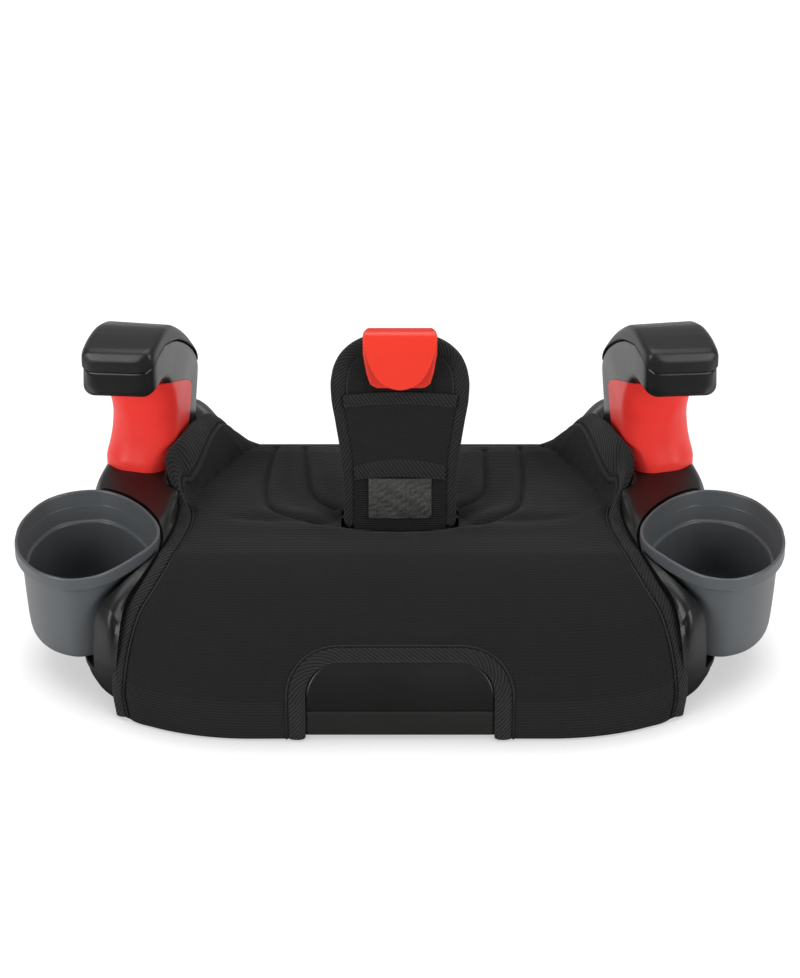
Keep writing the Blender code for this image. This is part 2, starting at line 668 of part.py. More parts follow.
def arm_spot(side, run, out):
    """Scene x and y of a point in the arm's own frame: run back from the tip, out from the arm's centre line."""
    run -= ARM_SKEW * out * (1 - ease(run / 45))
    x = ARM_X - run * math.sin(ARM_TOE) + out * math.cos(ARM_TOE)
    depth = ARM_DEPTH + run * math.cos(ARM_TOE) + out * math.sin(ARM_TOE)
    return side * x, depth + FRONT_Y


def arm_section(side, upper, lower, half, shift, upper_radius, lower_radius, steps=5):
    """Rounded rectangle between two (run, z) points."""
    run = Vector((upper[0] - lower[0], upper[1] - lower[1]))
    size = run.length
    run.normalize()
    ring = []
    corners = ((1, size, upper_radius, 0), (-1, size, upper_radius, 90), (-1, 0, lower_radius, 180),
               (1, 0, lower_radius, 270))
    for sign, edge, radius, start in corners:
        radius = min(radius, size * 0.48, half * 0.95)
        middle_out = sign * (half - radius)
        middle_up = edge - radius if edge else radius
        for i in range(steps):
            turn = math.radians(start + 90 * i / (steps - 1))
            out = middle_out + radius * math.cos(turn)
            up = middle_up + radius * math.sin(turn)
            along = lower[0] + run.x * up
            x, y = arm_spot(side, along, shift + out)
            level = lower[1] + run.y * up
            roll = ARM_ROLL * (1 - ease((along - 40) / 70)) * ease((level - 120) / 60)
            ring.append((x, y, level - roll * out))
    return ring


def arm_rings(side, grow, foot):
    """Rings of the post's tenon, grown for its socket."""
    rings = []
    for z, taper in ((foot, 2.0), (90, 0.0), (112, 0.0)):
        upper = (SEAM[-1][0] - taper + grow, z)
        lower = (UNDER[-1][0] + taper - grow, z)
        half = ARM_HALF[-1] - taper + grow
        rings.append(arm_section(side, upper, lower, half, ARM_SHIFT[-1], 10, 19))
    return rings


def arm_body_rings(side, skin):
    """Rings of the arm and post from the tip to the pedestal; `skin` draws the front and sides in for the core."""
    rings = []
    for n, (upper, lower) in enumerate(zip(SEAM, UNDER)):
        run = Vector((upper[0] - lower[0], upper[1] - lower[1])).normalized()
        start = (lower[0] + run.x * skin, lower[1] + run.y * skin)
        end = (upper[0] + run.x * (6 if skin else 0), upper[1] + run.y * (6 if skin else 0))
        bend = ease((n - 4) / 5)
        rings.append(arm_section(side, end, start, ARM_HALF[n] - skin, ARM_SHIFT[n], 2.0 + 8 * bend,
                                 8 + 11 * bend))
    return rings


def build_armrest(side, word, mats):
    """Goose-neck arm with its red belt guide, soft pad and screws."""
    full = arm_body_rings(side, 0.0)
    tenon = arm_rings(side, 0.0, TENON_FOOT + GAP)
    body = make_object(f"armrest_{word}", *loft(full + [tenon[1], tenon[0]]), mats["arm"])
    region = make_object(f"guide_region_{word}", *prism(side, GUIDE_SEAM, 60, GAP), mats["red"])
    core = make_object(f"guide_core_{word}", *loft(arm_body_rings(side,
                                                                  GUIDE_SKIN + 0.3) + [tenon_core(side,
                                                                                                  96)]), mats["arm"])
    shape(region, "DIFFERENCE", core)
    shape(body, "DIFFERENCE", region)

    guide = make_object(f"belt_guide_{word}", *loft(full), mats["red"])
    inside = make_object(f"guide_inside_{word}", *loft(arm_body_rings(side,
                                                                      GUIDE_SKIN) + [tenon_core(side,
                                                                                                96)]), mats["red"])
    cut = make_object(f"guide_cut_{word}", *prism(side, GUIDE_SEAM, 70, 0.0), mats["red"])
    shape(guide, "INTERSECT", cut)
    shape(guide, "DIFFERENCE", inside)

    rings = []
    for n, (upper, lower) in enumerate(zip(CROWN, CROWN_FOOT)):
        rings.append(arm_section(side, upper, lower, CROWN_HALF[n], 0.0, 9, 1.5))
    make_object(f"armrest_pad_{word}", *loft(rings), mats["pad"])

    for n, run in enumerate(POST_SCREWS):
        x, y = arm_spot(side, run, 0.0)
        bore = turned(f"tenon_bore_{word}_{n}", [(2.4, 40), (2.4, TENON_FOOT + 16)], (x, y), mats["arm"],
                      12)
        shape(body, "DIFFERENCE", bore)
        floor = TENON_FOOT - 6
        turned(f"post_screw_{word}_{n + 1}", [(4.2, floor - 3.3), (4.6, floor - 0.3), (2.1, floor - 0.29),
                                              (2.1, TENON_FOOT + 14)],
               (x, y), mats["steel"], 14)
    return body


def tenon_core(side, z):
    """Foot ring that carries the core below the pedestal top."""
    upper = (SEAM[-1][0] + 6, z)
    lower = (UNDER[-1][0] + GUIDE_SKIN + 0.3, z)
    return arm_section(side, upper, lower, ARM_HALF[-1] - GUIDE_SKIN - 0.3, ARM_SHIFT[-1], 10, 19)


def prism(side, outline, half, grow):
    """Outline in the arm's (run, z) plane, pushed out to both sides."""
    middle = Vector((sum(p[0] for p in outline) / len(outline), sum(p[1] for p in outline) / len(outline)))
    rings = []
    for out in (-half, half):
        ring = []
        for run, z in outline:
            away = Vector((run, z)) - middle
            spot = Vector((run, z)) + away.normalized() * grow
            x, y = arm_spot(side, spot.x, out)
            ring.append((x, y, spot.y))
        rings.append(ring)
    return loft(rings)


# ---------------------------------------------------------------- tether

def tether_point(x, up, out):
    """Point on the leaning tether: across, up from the hinge line, out towards the rear."""
    y = TETHER_DEPTH + FRONT_Y + up * math.sin(TETHER_LEAN) + out * math.cos(TETHER_LEAN)
    z = TETHER_Z + up * math.cos(TETHER_LEAN) - out * math.sin(TETHER_LEAN)
    return (x, y, z)


def panel(name, rows, front, back, material, edge=1.5, cols=8):
    """A soft panel across the tether from (up, half width) rows, with rounded long edges."""
    rings = []
    middle = (front + back) / 2
    thick = (back - front) / 2
    for up, half in rows:
        ring = []
        for i in range(cols + 1):
            ring.append((half * (1 - 2 * i / cols), front, i in (0, cols)))
        for i in range(cols, -1, -1):
            ring.append((half * (1 - 2 * i / cols), back, i in (0, cols)))
        points = []
        for x, out, rim in ring:
            if rim:
                out = middle + (out - middle) * 0.45
            elif abs(x) > half - edge:
                x = math.copysign(half - edge, x)
            points.append(tether_point(x, up, out))
        rings.append(points)
    return make_object(name, *loft(rings), material, origin=TETHER_HINGE)


def build_tether(mats):
    """Crotch tether: quilted pad, sleeve, strap and grip patch, in layers from the rear to the front."""
    pad = panel("tether_pad", PAD_SHAPE[:-1] + [(139.9, 6.0)], PAD_FRONT + 3.3, PAD_BACK + 1.5,
                mats["knit"], 2.5, 10)
    low, high = SLEEVE_SPAN
    sleeve = []
    for i in range(5):
        up = low + (high - low) * i / 4
        sleeve.append((up, curve(PAD_SHAPE, up) - 9.0))
    panel("tether_sleeve", sleeve, PAD_FRONT - 2.6, PAD_FRONT - 0.6, mats["knit"], 1.0, 8)
    rows = [(-2.5, STRAP_HALF), (30, STRAP_HALF), (60, STRAP_HALF - 3), (90, CLIP_HALF - 3),
            (118, CLIP_HALF - 4)]
    strap = panel("tether_strap", rows, STRAP_FRONT, STRAP_BACK, mats["web"], 0.6, 4)
    panel("grip_patch", [(4, 22), (16, 22), (32, 22)], STRAP_FRONT - 1.1, STRAP_FRONT - GAP, mats["vinyl"],
          0.5, 4)
    for n, x in enumerate(RIVET_X):
        shape(pad, "DIFFERENCE", across_tether(f"rivet_recess_{n}", x,
                                               [(4.4, STRAP_BACK - 0.1),
                                                (4.4, STRAP_BACK + 2.2)], mats["knit"]))
        shape(strap, "DIFFERENCE", across_tether(f"strap_hole_{n}", x,
                                                 [(2.0, STRAP_FRONT - 2),
                                                  (2.0, STRAP_BACK + 2)], mats["web"]))


def across_tether(name, x, profile, material):
    """A round piece whose axis goes through the tether at the rivets, from (radius, out) pairs."""
    rings = []
    for radius, out in profile:
        turns = [2 * math.pi * i / 16 for i in range(16)]
        rings.append([tether_point(x + radius * math.cos(t), RIVET_UP + radius * math.sin(t),
                                   out) for t in turns])
    return make_object(name, *loft(rings), material, origin=TETHER_HINGE)


def build_rivets(mats):
    """Rivets that hold the clip's back plate to the strap."""
    front = CLIP_BACK - CLIP_WALL - GAP
    rear = STRAP_BACK + GAP
    profile = [(3.0, front - 1.3), (3.8, front - 0.6), (3.8, front), (1.7, front + 0.01),
               (1.7, rear - 0.01), (3.8, rear),
               (3.8, rear + 0.7), (3.0, rear + 1.2)]
    for n, x in enumerate(RIVET_X):
        across_tether(f"clip_rivet_{n + 1}", x, profile, mats["steel"])


def build_anchor(mats):
    """Steel bar in the shell and the webbing that runs down from the hinge line and round it."""
    y = TETHER_DEPTH + FRONT_Y
    rings = []
    for x in (-44, -43, 43, 44):
        radius = 2.6 if abs(x) == 44 else 3.1
        rings.append([(x, y + radius * math.cos(math.pi * i / 8),
                       ANCHOR_Z + radius * math.sin(math.pi * i / 8)) for i in range(16)])
    make_object("anchor_bar", *loft(rings), mats["steel"])
    outline = []
    for radius, turns in ((5.4, range(0, 13)), (3.5, range(12, -1, -1))):
        for i in turns:
            turn = math.pi + math.pi * i / 12
            outline.append((y + radius * math.cos(turn), ANCHOR_Z + radius * math.sin(turn)))
    top = TETHER_Z - 9.5
    sides = [(y + 5.4, ANCHOR_Z + 8), (y + 1.6, ANCHOR_Z + 18), (y + 1.2, top), (y - 1.2, top),
             (y - 1.6, ANCHOR_Z + 18), (y - 5.4, ANCHOR_Z + 8)]
    inner = [(y - 3.5, ANCHOR_Z + 7), (y - 0.2, ANCHOR_Z + 15), (y + 0.2, ANCHOR_Z + 15),
             (y + 3.5, ANCHOR_Z + 7)]
    path = outline[:13] + sides
    hole = outline[13:] + inner
    solid = make_object("anchor_webbing", *loft([[(x, py, pz) for py, pz in path] for x in (-STRAP_HALF,
                                                                                            STRAP_HALF)]), mats["web"], smooth=False)
    cutter = make_object("webbing_eye", *loft([[(x, py, pz) for py, pz in hole] for x in (-60, 60)]),
                         mats["web"])
    shape(solid, "DIFFERENCE", cutter)


def build_clip(mats):
    """Red hook that holds the lap belt down: back plate, fold over the top and rounded front flap."""
    back = CLIP_BACK
    face = back - CLIP_MOUTH - 2 * CLIP_WALL
    side = [(face, 90), (face, 134), (face + 2.5, 141), (face + 8, CLIP_TOP), (back - 5, CLIP_TOP),
            (back, 141), (back, 128),
            (back - CLIP_WALL, 128), (back - CLIP_WALL, 139), (back - 6, CLIP_TOP - CLIP_WALL),
            (face + 8, CLIP_TOP - CLIP_WALL), (face + 5, 139.5), (face + CLIP_WALL, 134), (face + CLIP_WALL,
                                                                                           90)]
    rings = [[tether_point(x, up, out) for out, up in side] for x in (-40, 40)]
    clip = make_object("belt_clip", *loft(rings), mats["red"], origin=TETHER_HINGE)
    outline = [(-25.5, 160), (-CLIP_HALF, 142), (-CLIP_HALF + 0.6, 128)]
    for i in range(1, 18):
        turn = math.pi * (1 + i / 18)
        outline.append((FLAP_HALF * math.cos(turn), FLAP_FOOT + FLAP_ROUND + FLAP_ROUND * math.sin(turn)))
    outline += [(CLIP_HALF - 0.6, 128), (CLIP_HALF, 142), (25.5, 160)]
    keep = make_object("clip_outline", *loft([[tether_point(x, up, out) for x,
                                               up in outline] for out in (-60, 60)]), mats["red"])
    shape(clip, "INTERSECT", keep)
    wing = [(-CLIP_HALF, 140), (-CLIP_HALF + 0.3, 126), (-CLIP_HALF + 3.5, 106), (-CLIP_HALF + 8, 101.5),
            (CLIP_HALF - 8, 101.5),
            (CLIP_HALF - 3.5, 106), (CLIP_HALF - 0.3, 126), (CLIP_HALF, 140)]
    plate = make_object("clip_plate", *loft([[tether_point(x, up, out) for x,
                                              up in wing] for out in (back - CLIP_WALL + 0.1, back - 0.1)]),
                        mats["red"])
    shape(clip, "UNION", plate)
    for n, x in enumerate(RIVET_X):
        hole = across_tether(f"clip_hole_{n}", x, [(2.0, back - CLIP_WALL - 2), (2.0, back + 2)],
                             mats["red"])
        shape(clip, "DIFFERENCE", hole)


def build_small_parts(mats):
    """Feet and base screws."""
    top = TRAY_BOTTOM - GAP
    for n, spot in enumerate(FOOT_SPOTS):
        profile = [(8.2, 0), (9, 0.8), (9, top), (5, top + 0.01), (5, TRAY_BOTTOM + SHELL_WALL)]
        turned(f"rubber_foot_{n + 1}", profile, spot, mats["rubber"], 18)
    for n, spot in enumerate(SCREW_SPOTS):
        profile = [(4.4, 5.4), (4.7, 8.7), (1.7, 8.71), (1.7, 44)]
        turned(f"base_screw_{n + 1}", profile, spot, mats["steel"], 14)


def main():
    clear_scene()
    mats = make_materials()
    soft_space = build_soft_space(mats)
    build_lower_shell(mats, soft_space)
    build_upper_shell(mats, soft_space)
    build_seat_cover(mats)
    build_seat_foam(mats)
    for side, word in ((-1, "left"), (1, "right")):
        build_cup(side, word, mats)
        build_armrest(side, word, mats)
    build_tether(mats)
    build_anchor(mats)
    build_clip(mats)
    build_rivets(mats)
    build_small_parts(mats)


main()
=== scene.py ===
"""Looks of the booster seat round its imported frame: knit cover, tapes, mouldings and studio.

Lengths are millimetres unless a name says otherwise. X is across, Y runs to the rear, Z is up.
"""
import math

import bmesh
import bpy
import numpy as np
from mathutils import Euler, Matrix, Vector


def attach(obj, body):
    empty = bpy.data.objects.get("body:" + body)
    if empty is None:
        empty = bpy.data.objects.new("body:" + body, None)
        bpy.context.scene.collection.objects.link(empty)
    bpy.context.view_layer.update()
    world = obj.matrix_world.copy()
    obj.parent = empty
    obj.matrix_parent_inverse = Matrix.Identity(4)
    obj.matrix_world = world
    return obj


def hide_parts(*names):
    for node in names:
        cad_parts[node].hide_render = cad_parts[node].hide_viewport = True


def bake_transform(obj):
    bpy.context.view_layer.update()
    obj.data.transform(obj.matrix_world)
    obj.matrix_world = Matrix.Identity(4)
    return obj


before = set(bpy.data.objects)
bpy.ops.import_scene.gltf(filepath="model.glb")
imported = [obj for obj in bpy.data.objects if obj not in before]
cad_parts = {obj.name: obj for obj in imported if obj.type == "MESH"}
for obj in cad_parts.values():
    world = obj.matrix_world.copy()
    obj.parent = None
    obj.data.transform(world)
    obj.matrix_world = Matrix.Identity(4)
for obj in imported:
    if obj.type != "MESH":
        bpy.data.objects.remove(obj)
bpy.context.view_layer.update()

MM = 0.001
GAP = 0.3

# ---------------------------------------------------------------- shape of the seat, as in the CAD

HALF_WIDTH, DEPTH, FRONT_Y = 224.0, 340.0, -170.0
REAR_DRAW_IN, LIP_RISE, REAR_SINK = 9.0, 4.0, 3.0
FRONT_FLAT, FRONT_CORNER = 105.0, (119.0, 72.0)
REAR_FLAT, REAR_CORNER = 134.0, (90.0, 80.0)
PARTING_Z, WALL_TOP, HEM_Z = 25.0, 35.0, 2.0
SEAT_HIGH, SEAT_FALL, FALL_START = 97.5, 0.147, 90.0
FRONT_ROLL = [(0, 35), (1.2, 38), (7, 52), (15.5, 66), (27, 78), (44, 87), (64, 94), (84, 97), (105, 97.5)]
BULGE_ROLL = [
    (0, 42), (0.6, 56), (1.5, 65), (4, 72.5), (8, 79), (17, 86.5), (30, 91.5), (44, 95.5), (62, 98.5),
    (87, 101.5), (105, 105), (122, 107.6), (150, 108.4),
]
BOX_ROLL = [(0, 62), (1.5, 82), (4, 97), (8, 105), (13, 108), (90, 108)]
HIP_ROLL = [(0, 30), (8, 44), (22, 64), (40, 88), (54, 105), (66, 114), (80, 118)]
REAR_ROLL = [(0, 31), (8, 34), (27, 42), (42, 51.5), (58, 61.5), (70, 68), (85, 71)]
BOLSTER_INNER = [(120, 160), (155, 153), (192, 143), (226, 126), (264, 108), (290, 96)]
BOLSTER_OUTER = [
    (120, 168), (150, 159), (158, 160), (164, 165), (171, 168), (180, 166.5), (190, 161), (212, 155),
    (262, 143.5), (290, 137),
]
BOLSTER_RISE = [
    (115, 0), (145, 2), (156, 7), (164, 23), (172, 35), (182, 42), (195, 45), (215, 44), (237, 39),
    (255, 34), (270, 27), (285, 14), (300, 0),
]
COVER_EDGE = [
    (-35, 199.5), (-12, 202), (0, 201), (8, 198.5), (20, 194.5), (35, 189.5), (55, 181.5), (80, 172.5),
    (110, 164.5), (140, 159), (155, 157.5), (160, 161), (166, 166.5), (173, 168), (181, 166), (190, 160.5),
    (212, 154.5), (262, 143), (276, 137), (288, 126),
]
COVER_REAR, COVER_THICK, COVER_DRAWN_IN = 288.0, 3.6, 1.3
CUTOUT_HALF, CUTOUT_TOP, CUTOUT_RADIUS = 67.0, 60.5, 25.0
WELL_HALF, WELL_FRONT, WELL_REAR = 46.0, 131.0, 158.0

CUP_X, CUP_DEPTH = 216.0, 102.0
CUP_RADIUS = [
    (-180, 55.5), (-150, 58), (-125, 59.5), (-108, 59), (-88, 54), (-70, 47.5), (-55, 43.8), (-40, 42.5),
    (-24, 44), (-8, 46), (8, 46.5), (30, 46), (50, 47.5), (70, 51.5), (91, 56), (127, 57.5), (155, 55.5),
    (180, 55.5),
]
POCKET_GAP, POCKET_FLOOR = 2.2, 29.6

ARM_X, ARM_DEPTH, ARM_TOE, ARM_SKEW, ARM_ROLL = 198.0, 137.0, math.radians(13.0), 0.04, 0.08
SEAM = [
    (0, 218.4), (5, 220.6), (14, 222.6), (28, 222.4), (45, 216.6), (62, 208.9), (80, 197.9), (99, 183),
    (112, 170.5), (121, 159), (126, 147), (128.5, 130), (129.5, 117), (129.5, 108.6),
]
UNDER = [
    (0, 199.8), (2, 197.2), (10, 195.4), (24, 193.9), (36, 187.4), (43.5, 178.5), (47.5, 167.5),
    (49.5, 155), (50, 145), (49.3, 136), (48, 127), (45.5, 118), (43.5, 112), (43, 108.6),
]
ARM_HALF = [21.5, 25, 26.1, 26.1, 25.9, 25.6, 25.2, 24.8, 24.4, 24.1, 24.1, 24.4, 24.8, 25]
ARM_SHIFT = [0, 0, 0, 0, 0, 0, -0.2, -0.3, 0.1, 0.7, 1.4, 2.6, 3.8, 4.4]
CROWN = [
    (0, 229.5), (2.2, 232.6), (8, 234.6), (20, 234.9), (29, 234.2), (38, 232.7), (55, 225.8), (72, 214.4),
    (90, 200), (106, 182.6), (117, 168.4), (124, 157), (126.5, 151),
]
CROWN_FOOT = [
    (0, 219), (2, 220), (8, 221.8), (18, 223.4), (27.5, 223), (34, 221.4), (50, 215), (66, 207.4),
    (83, 196.2), (100, 182.9), (112.5, 171.1), (121.3, 159.4), (124.8, 151.6),
]
CROWN_HALF = [21.5, 25, 26.4, 26.8, 26.8, 26.8, 26.8, 26.6, 26.2, 25.7, 25, 23.4, 20.2]
GUIDE_SEAM = [
    (16, 194.8), (37.6, 189), (71, 171.5), (92, 159), (103, 151), (106, 145), (104.5, 133), (99, 104),
]
GUIDE_SKIN = 3.0

TETHER_DEPTH, TETHER_Z, TETHER_LEAN = 139.0, 88.0, math.radians(20.0)
PAD_SHAPE = [
    (-3, 36), (-1.5, 38.8), (4, 40.2), (25, 40.4), (50, 42.4), (75, 46.2), (92, 49), (102, 49.5),
    (112, 48.2), (122, 44.3), (130, 37.5), (136, 27.8), (139.5, 14.6), (140, 0),
]
STRAP_FRONT, STRAP_BACK = -2.8, -0.6
CLIP_HALF, CLIP_TOP, CLIP_WALL, CLIP_MOUTH = 26.5, 145.5, 2.8, 9.0
CLIP_BACK = STRAP_FRONT - GAP
FLAP_FOOT = 102.5


def curve(points, t):
    """Monotone cubic through (t, value) pairs, flat outside them, for a number or an array."""
    p = np.array(points, float)
    xs, ys = p[:, 0], p[:, 1]
    t = np.asarray(t, float)
    slope = np.diff(ys) / np.diff(xs)
    low, high = slope[:-1], slope[1:]
    same = low * high > 0
    inner = np.where(same, 2 * low * high / np.where(same, low + high, 1.0), 0.0)
    tangent = np.concatenate([[slope[0]], inner, [slope[-1]]])
    c = np.clip(t, xs[0], xs[-1])
    k = np.clip(np.searchsorted(xs, c, side="right") - 1, 0, len(xs) - 2)
    run = xs[k + 1] - xs[k]
    s = (c - xs[k]) / run
    return (ys[k] * (1 + 2 * s) * (1 - s) ** 2 + run * tangent[k] * s * (1 - s) ** 2
            + ys[k + 1] * s * s * (3 - 2 * s) + run * tangent[k + 1] * s * s * (s - 1))


def run_length(points):
    """Distance travelled along a polyline at each of its points."""
    return np.concatenate([[0], np.cumsum(np.linalg.norm(np.diff(points, axis=0), axis=1))])


def unit(vectors):
    return vectors / np.linalg.norm(vectors, axis=-1, keepdims=True)


def flat_uv(across, along):
    """Texture coordinates in metres, a pair for each point of a grid in millimetres."""
    return np.stack(np.broadcast_arrays(across, along), -1).reshape(-1, 2) * MM


def ease(t):
    t = np.clip(t, 0.0, 1.0)
    return t * t * (3 - 2 * t)


def corner_cut(x, flat, axes):
    run = np.clip(np.abs(x) - flat, 0.0, axes[0]) / axes[0]
    return axes[1] * (1 - np.sqrt(1 - run * run))


def seat_height(x, depth):
    inset = depth - corner_cut(x, FRONT_FLAT, FRONT_CORNER)
    front = curve(FRONT_ROLL, inset) / FRONT_ROLL[-1][1]
    rear = curve(REAR_ROLL, DEPTH - corner_cut(x, REAR_FLAT, REAR_CORNER) - depth) / REAR_ROLL[-1][1]
    inner, outer = curve(BOLSTER_INNER, depth), curve(BOLSTER_OUTER, depth)
    rise = curve(BOLSTER_RISE, depth) * ease((np.abs(x) - inner) / (outer - inner))
    return (SEAT_HIGH - SEAT_FALL * np.maximum(0.0, depth - FALL_START)) * front * rear + rise


def lower_of(heights):
    """The lowest of some heights, blended where they meet."""
    blend = 2.5
    floor = np.minimum.reduce(heights)
    return floor - blend * np.log(sum(np.exp((floor - h) / blend) for h in heights))


def shoulder_height(x, depth):
    inset = depth - corner_cut(x, FRONT_FLAT, FRONT_CORNER)
    rear = DEPTH - corner_cut(x, REAR_FLAT, REAR_CORNER) - depth
    bulge, hip = curve(BULGE_ROLL, inset), curve(HIP_ROLL, rear)
    tall = lower_of([bulge, curve(BOX_ROLL, HALF_WIDTH - np.abs(x)), hip])
    edge = curve(COVER_EDGE, depth)
    seat = seat_height(x, depth)
    share = ease((np.abs(x) - edge + 12 * ease((depth - 270) / 30)) / (2 + 36 * ease((depth - 262) / 30)))
    behind = share * tall + (1 - share) * (seat - REAR_SINK)
    share = ease((np.abs(x) - edge) / (8 - 4 * ease((depth - 60) / 80)))
    low = seat + LIP_RISE
    ahead = np.minimum(share * tall + (1 - share) * low, np.maximum(tall, low))
    return np.where(depth > 150, behind, ahead)


def row_depth(x, station):
    s = np.maximum(0.0, station)
    front = corner_cut(x, FRONT_FLAT, FRONT_CORNER) * (1 - ease(s / 120))
    return s + front - corner_cut(x, REAR_FLAT, REAR_CORNER) * ease((s - 180) / 160)


def drawn_in(x, depth):
    return x - np.sign(x) * REAR_DRAW_IN * ease((depth - 170) / 50) * ease((np.abs(x) - 185) / 36)


def fabric(x, station):
    """Points (mm, scene axes) of the fabric surface for equal arrays of x and station."""
    depth = row_depth(x, station)
    z = np.where(station <= 0, WALL_TOP + station, seat_height(x, depth))
    return np.stack([x + 0 * depth, depth + FRONT_Y, z], -1)


def fabric_normal(x, station):
    step = 1.5
    across = fabric(x + step, station) - fabric(x - step, station)
    back = fabric(x, station + step) - fabric(x, station - step)
    return unit(np.cross(across, back))


# ---------------------------------------------------------------- mesh helpers

def mesh_object(name, points, faces, finish, uv=None):
    """Mesh object from millimetre points; uv is one pair in metres per point, finish a key of materials."""
    mesh = bpy.data.meshes.new(name)
    mesh.from_pydata((np.asarray(points, float) * MM).tolist(), [], faces)
    if uv is not None:
        layer = mesh.uv_layers.new(name="UVMap")
        index = np.zeros(len(mesh.loops), np.int32)
        mesh.loops.foreach_get("vertex_index", index)
        layer.data.foreach_set("uv", (np.asarray(uv, float)[index]).astype(np.float32).ravel())
    mesh.materials.append(materials[finish])
    mesh.polygons.foreach_set("use_smooth", [True] * len(mesh.polygons))
    mesh.validate()
    mesh.update()
    obj = bpy.data.objects.new(name, mesh)
    bpy.context.scene.collection.objects.link(obj)
    return obj


def grid_faces(rows, cols, wrap_cols=False, offset=0, flip=False):
    faces = []
    for i in range(rows - 1):
        for j in range(cols if wrap_cols else cols - 1):
            k = (j + 1) % cols
            near, far = offset + i * cols, offset + (i + 1) * cols
            face = (near + j, near + k, far + k, far + j)
            faces.append(face[::-1] if flip else face)
    return faces


def loft(name, rings, finish, uv=None):
    """Skin through equal rings (array rings x points x 3), closed by a fan at each end."""
    rings = np.asarray(rings, float)
    rows, cols = rings.shape[:2]
    points = rings.reshape(-1, 3)
    faces = grid_faces(rows, cols, wrap_cols=True)
    if uv is None:
        along = np.cumsum(np.linalg.norm(np.diff(rings, axis=0), axis=-1).mean(1))
        round_ = np.linalg.norm(rings - np.roll(rings, 1, 1), axis=-1).mean(0)
        uv = flat_uv(*np.meshgrid(np.cumsum(round_), np.concatenate([[0], along])))
    for ring, start, flip in ((rings[0], 0, True), (rings[-1], (rows - 1) * cols, False)):
        points = np.vstack([points, ring.mean(0)])
        uv = np.vstack([uv, uv[start]])
        hub = len(points) - 1
        for j in range(cols):
            a, b = start + j, start + (j + 1) % cols
            faces.append((b, a, hub) if flip else (a, b, hub))
    obj = mesh_object(name, points, faces, finish, uv)
    fix_normals(obj)
    return obj


def fix_normals(obj):
    work = bmesh.new()
    work.from_mesh(obj.data)
    bmesh.ops.recalc_face_normals(work, faces=work.faces)
    work.to_mesh(obj.data)
    work.free()


def sheet(name, top, bottom, finish, uv):
    """Closed skin between two equal grids (rows x cols x 3)."""
    rows, cols = top.shape[:2]
    points = np.vstack([top.reshape(-1, 3), bottom.reshape(-1, 3)])
    base = rows * cols
    faces = grid_faces(rows, cols) + grid_faces(rows, cols, offset=base, flip=True)
    rim = list(range(cols)) + [i * cols + cols - 1 for i in range(1, rows)]
    rim += [(rows - 1) * cols + j for j in range(cols - 2, -1, -1)]
    rim += [i * cols for i in range(rows - 2, 0, -1)]
    for k, a in enumerate(rim):
        b = rim[(k + 1) % len(rim)]
        faces.append((b, a, base + a, base + b))
    obj = mesh_object(name, points, faces, finish, np.vstack([uv, uv]))
    fix_normals(obj)
    return obj


WALL_SHARES = [0.0, 0.03, 0.3, 0.6, 0.9, 0.99]


def walled(top, floor):
    """Adds rows and columns round a height field for the wall under its rim."""
    count = len(WALL_SHARES)
    grid = np.pad(top, ((count, count), (count, count), (0, 0)), mode="edge")
    rows, cols = grid.shape[:2]
    i = np.minimum(np.arange(rows), np.arange(rows)[::-1])
    j = np.minimum(np.arange(cols), np.arange(cols)[::-1])
    near = np.minimum(np.minimum(i[:, None], j[None, :]), count)
    share = np.array(WALL_SHARES + [1.0])[near]
    grid[..., 2] = floor + 0.01 + (grid[..., 2] - floor) * share
    return grid


def merge_close(obj):
    """Joins points that all but coincide, which a Boolean would trip over."""
    reach = 0.004 * MM
    work = bmesh.new()
    work.from_mesh(obj.data)
    bmesh.ops.remove_doubles(work, verts=work.verts, dist=reach)
    bmesh.ops.dissolve_degenerate(work, dist=reach, edges=work.edges)
    bmesh.ops.recalc_face_normals(work, faces=work.faces)
    work.to_mesh(obj.data)
    work.free()


CRISP_ANGLE = math.radians(38)


def cut(obj, other, operation="DIFFERENCE"):
    """Applies a Boolean, keeps its edges crisp and removes the cutter."""
    step = obj.modifiers.new("cut", "BOOLEAN")
    step.operation, step.object, step.solver = operation, other, "MANIFOLD"
    bpy.context.view_layer.update()
    done = bpy.data.meshes.new_from_object(obj.evaluated_get(bpy.context.evaluated_depsgraph_get()))
    obj.modifiers.clear()
    obj.data = done
    done.set_sharp_from_angle(angle=CRISP_ANGLE)
    bpy.data.objects.remove(other)
    return obj


def box_cutter(low, high, radius, axis=2):
    """Box with the four edges along one axis rounded."""
    steps = 10
    first, second = [i for i in range(3) if i != axis]
    ring = []
    for cx, cy, start in ((1, 1, 0), (0, 1, 90), (0, 0, 180), (1, 0, 270)):
        a = high[first] - radius if cx else low[first] + radius
        b = high[second] - radius if cy else low[second] + radius
        for i in range(steps + 1):
            turn = math.radians(start + 90 * i / steps)
            ring.append((a + radius * math.cos(turn), b + radius * math.sin(turn)))
    rings = np.zeros((2, len(ring), 3))
    rings[:, :, first] = [p[0] for p in ring]
    rings[:, :, second] = [p[1] for p in ring]
    rings[0, :, axis], rings[1, :, axis] = low[axis], high[axis]
    return loft("cutter", rings, "shell")


def smooth_path(points, step, closed=False, rounds=3):
    """Corner-cut and evenly respaced copy of a polyline."""
    p = np.asarray(points, float)
    for _ in range(rounds):
        a, b = (p, np.roll(p, -1, 0)) if closed else (p[:-1], p[1:])
        q = np.stack([a * 0.75 + b * 0.25, a * 0.25 + b * 0.75], 1).reshape(-1, p.shape[1])
        p = q if closed else np.vstack([p[:1], q, p[-1:]])
    if closed:
        p = np.vstack([p, p[:1]])
    run = run_length(p)
    t = np.linspace(0, run[-1], max(2, int(run[-1] / step) + 1))
    if closed:
        t = t[:-1]
    return np.stack([np.interp(t, run, p[:, i]) for i in range(p.shape[1])], -1)


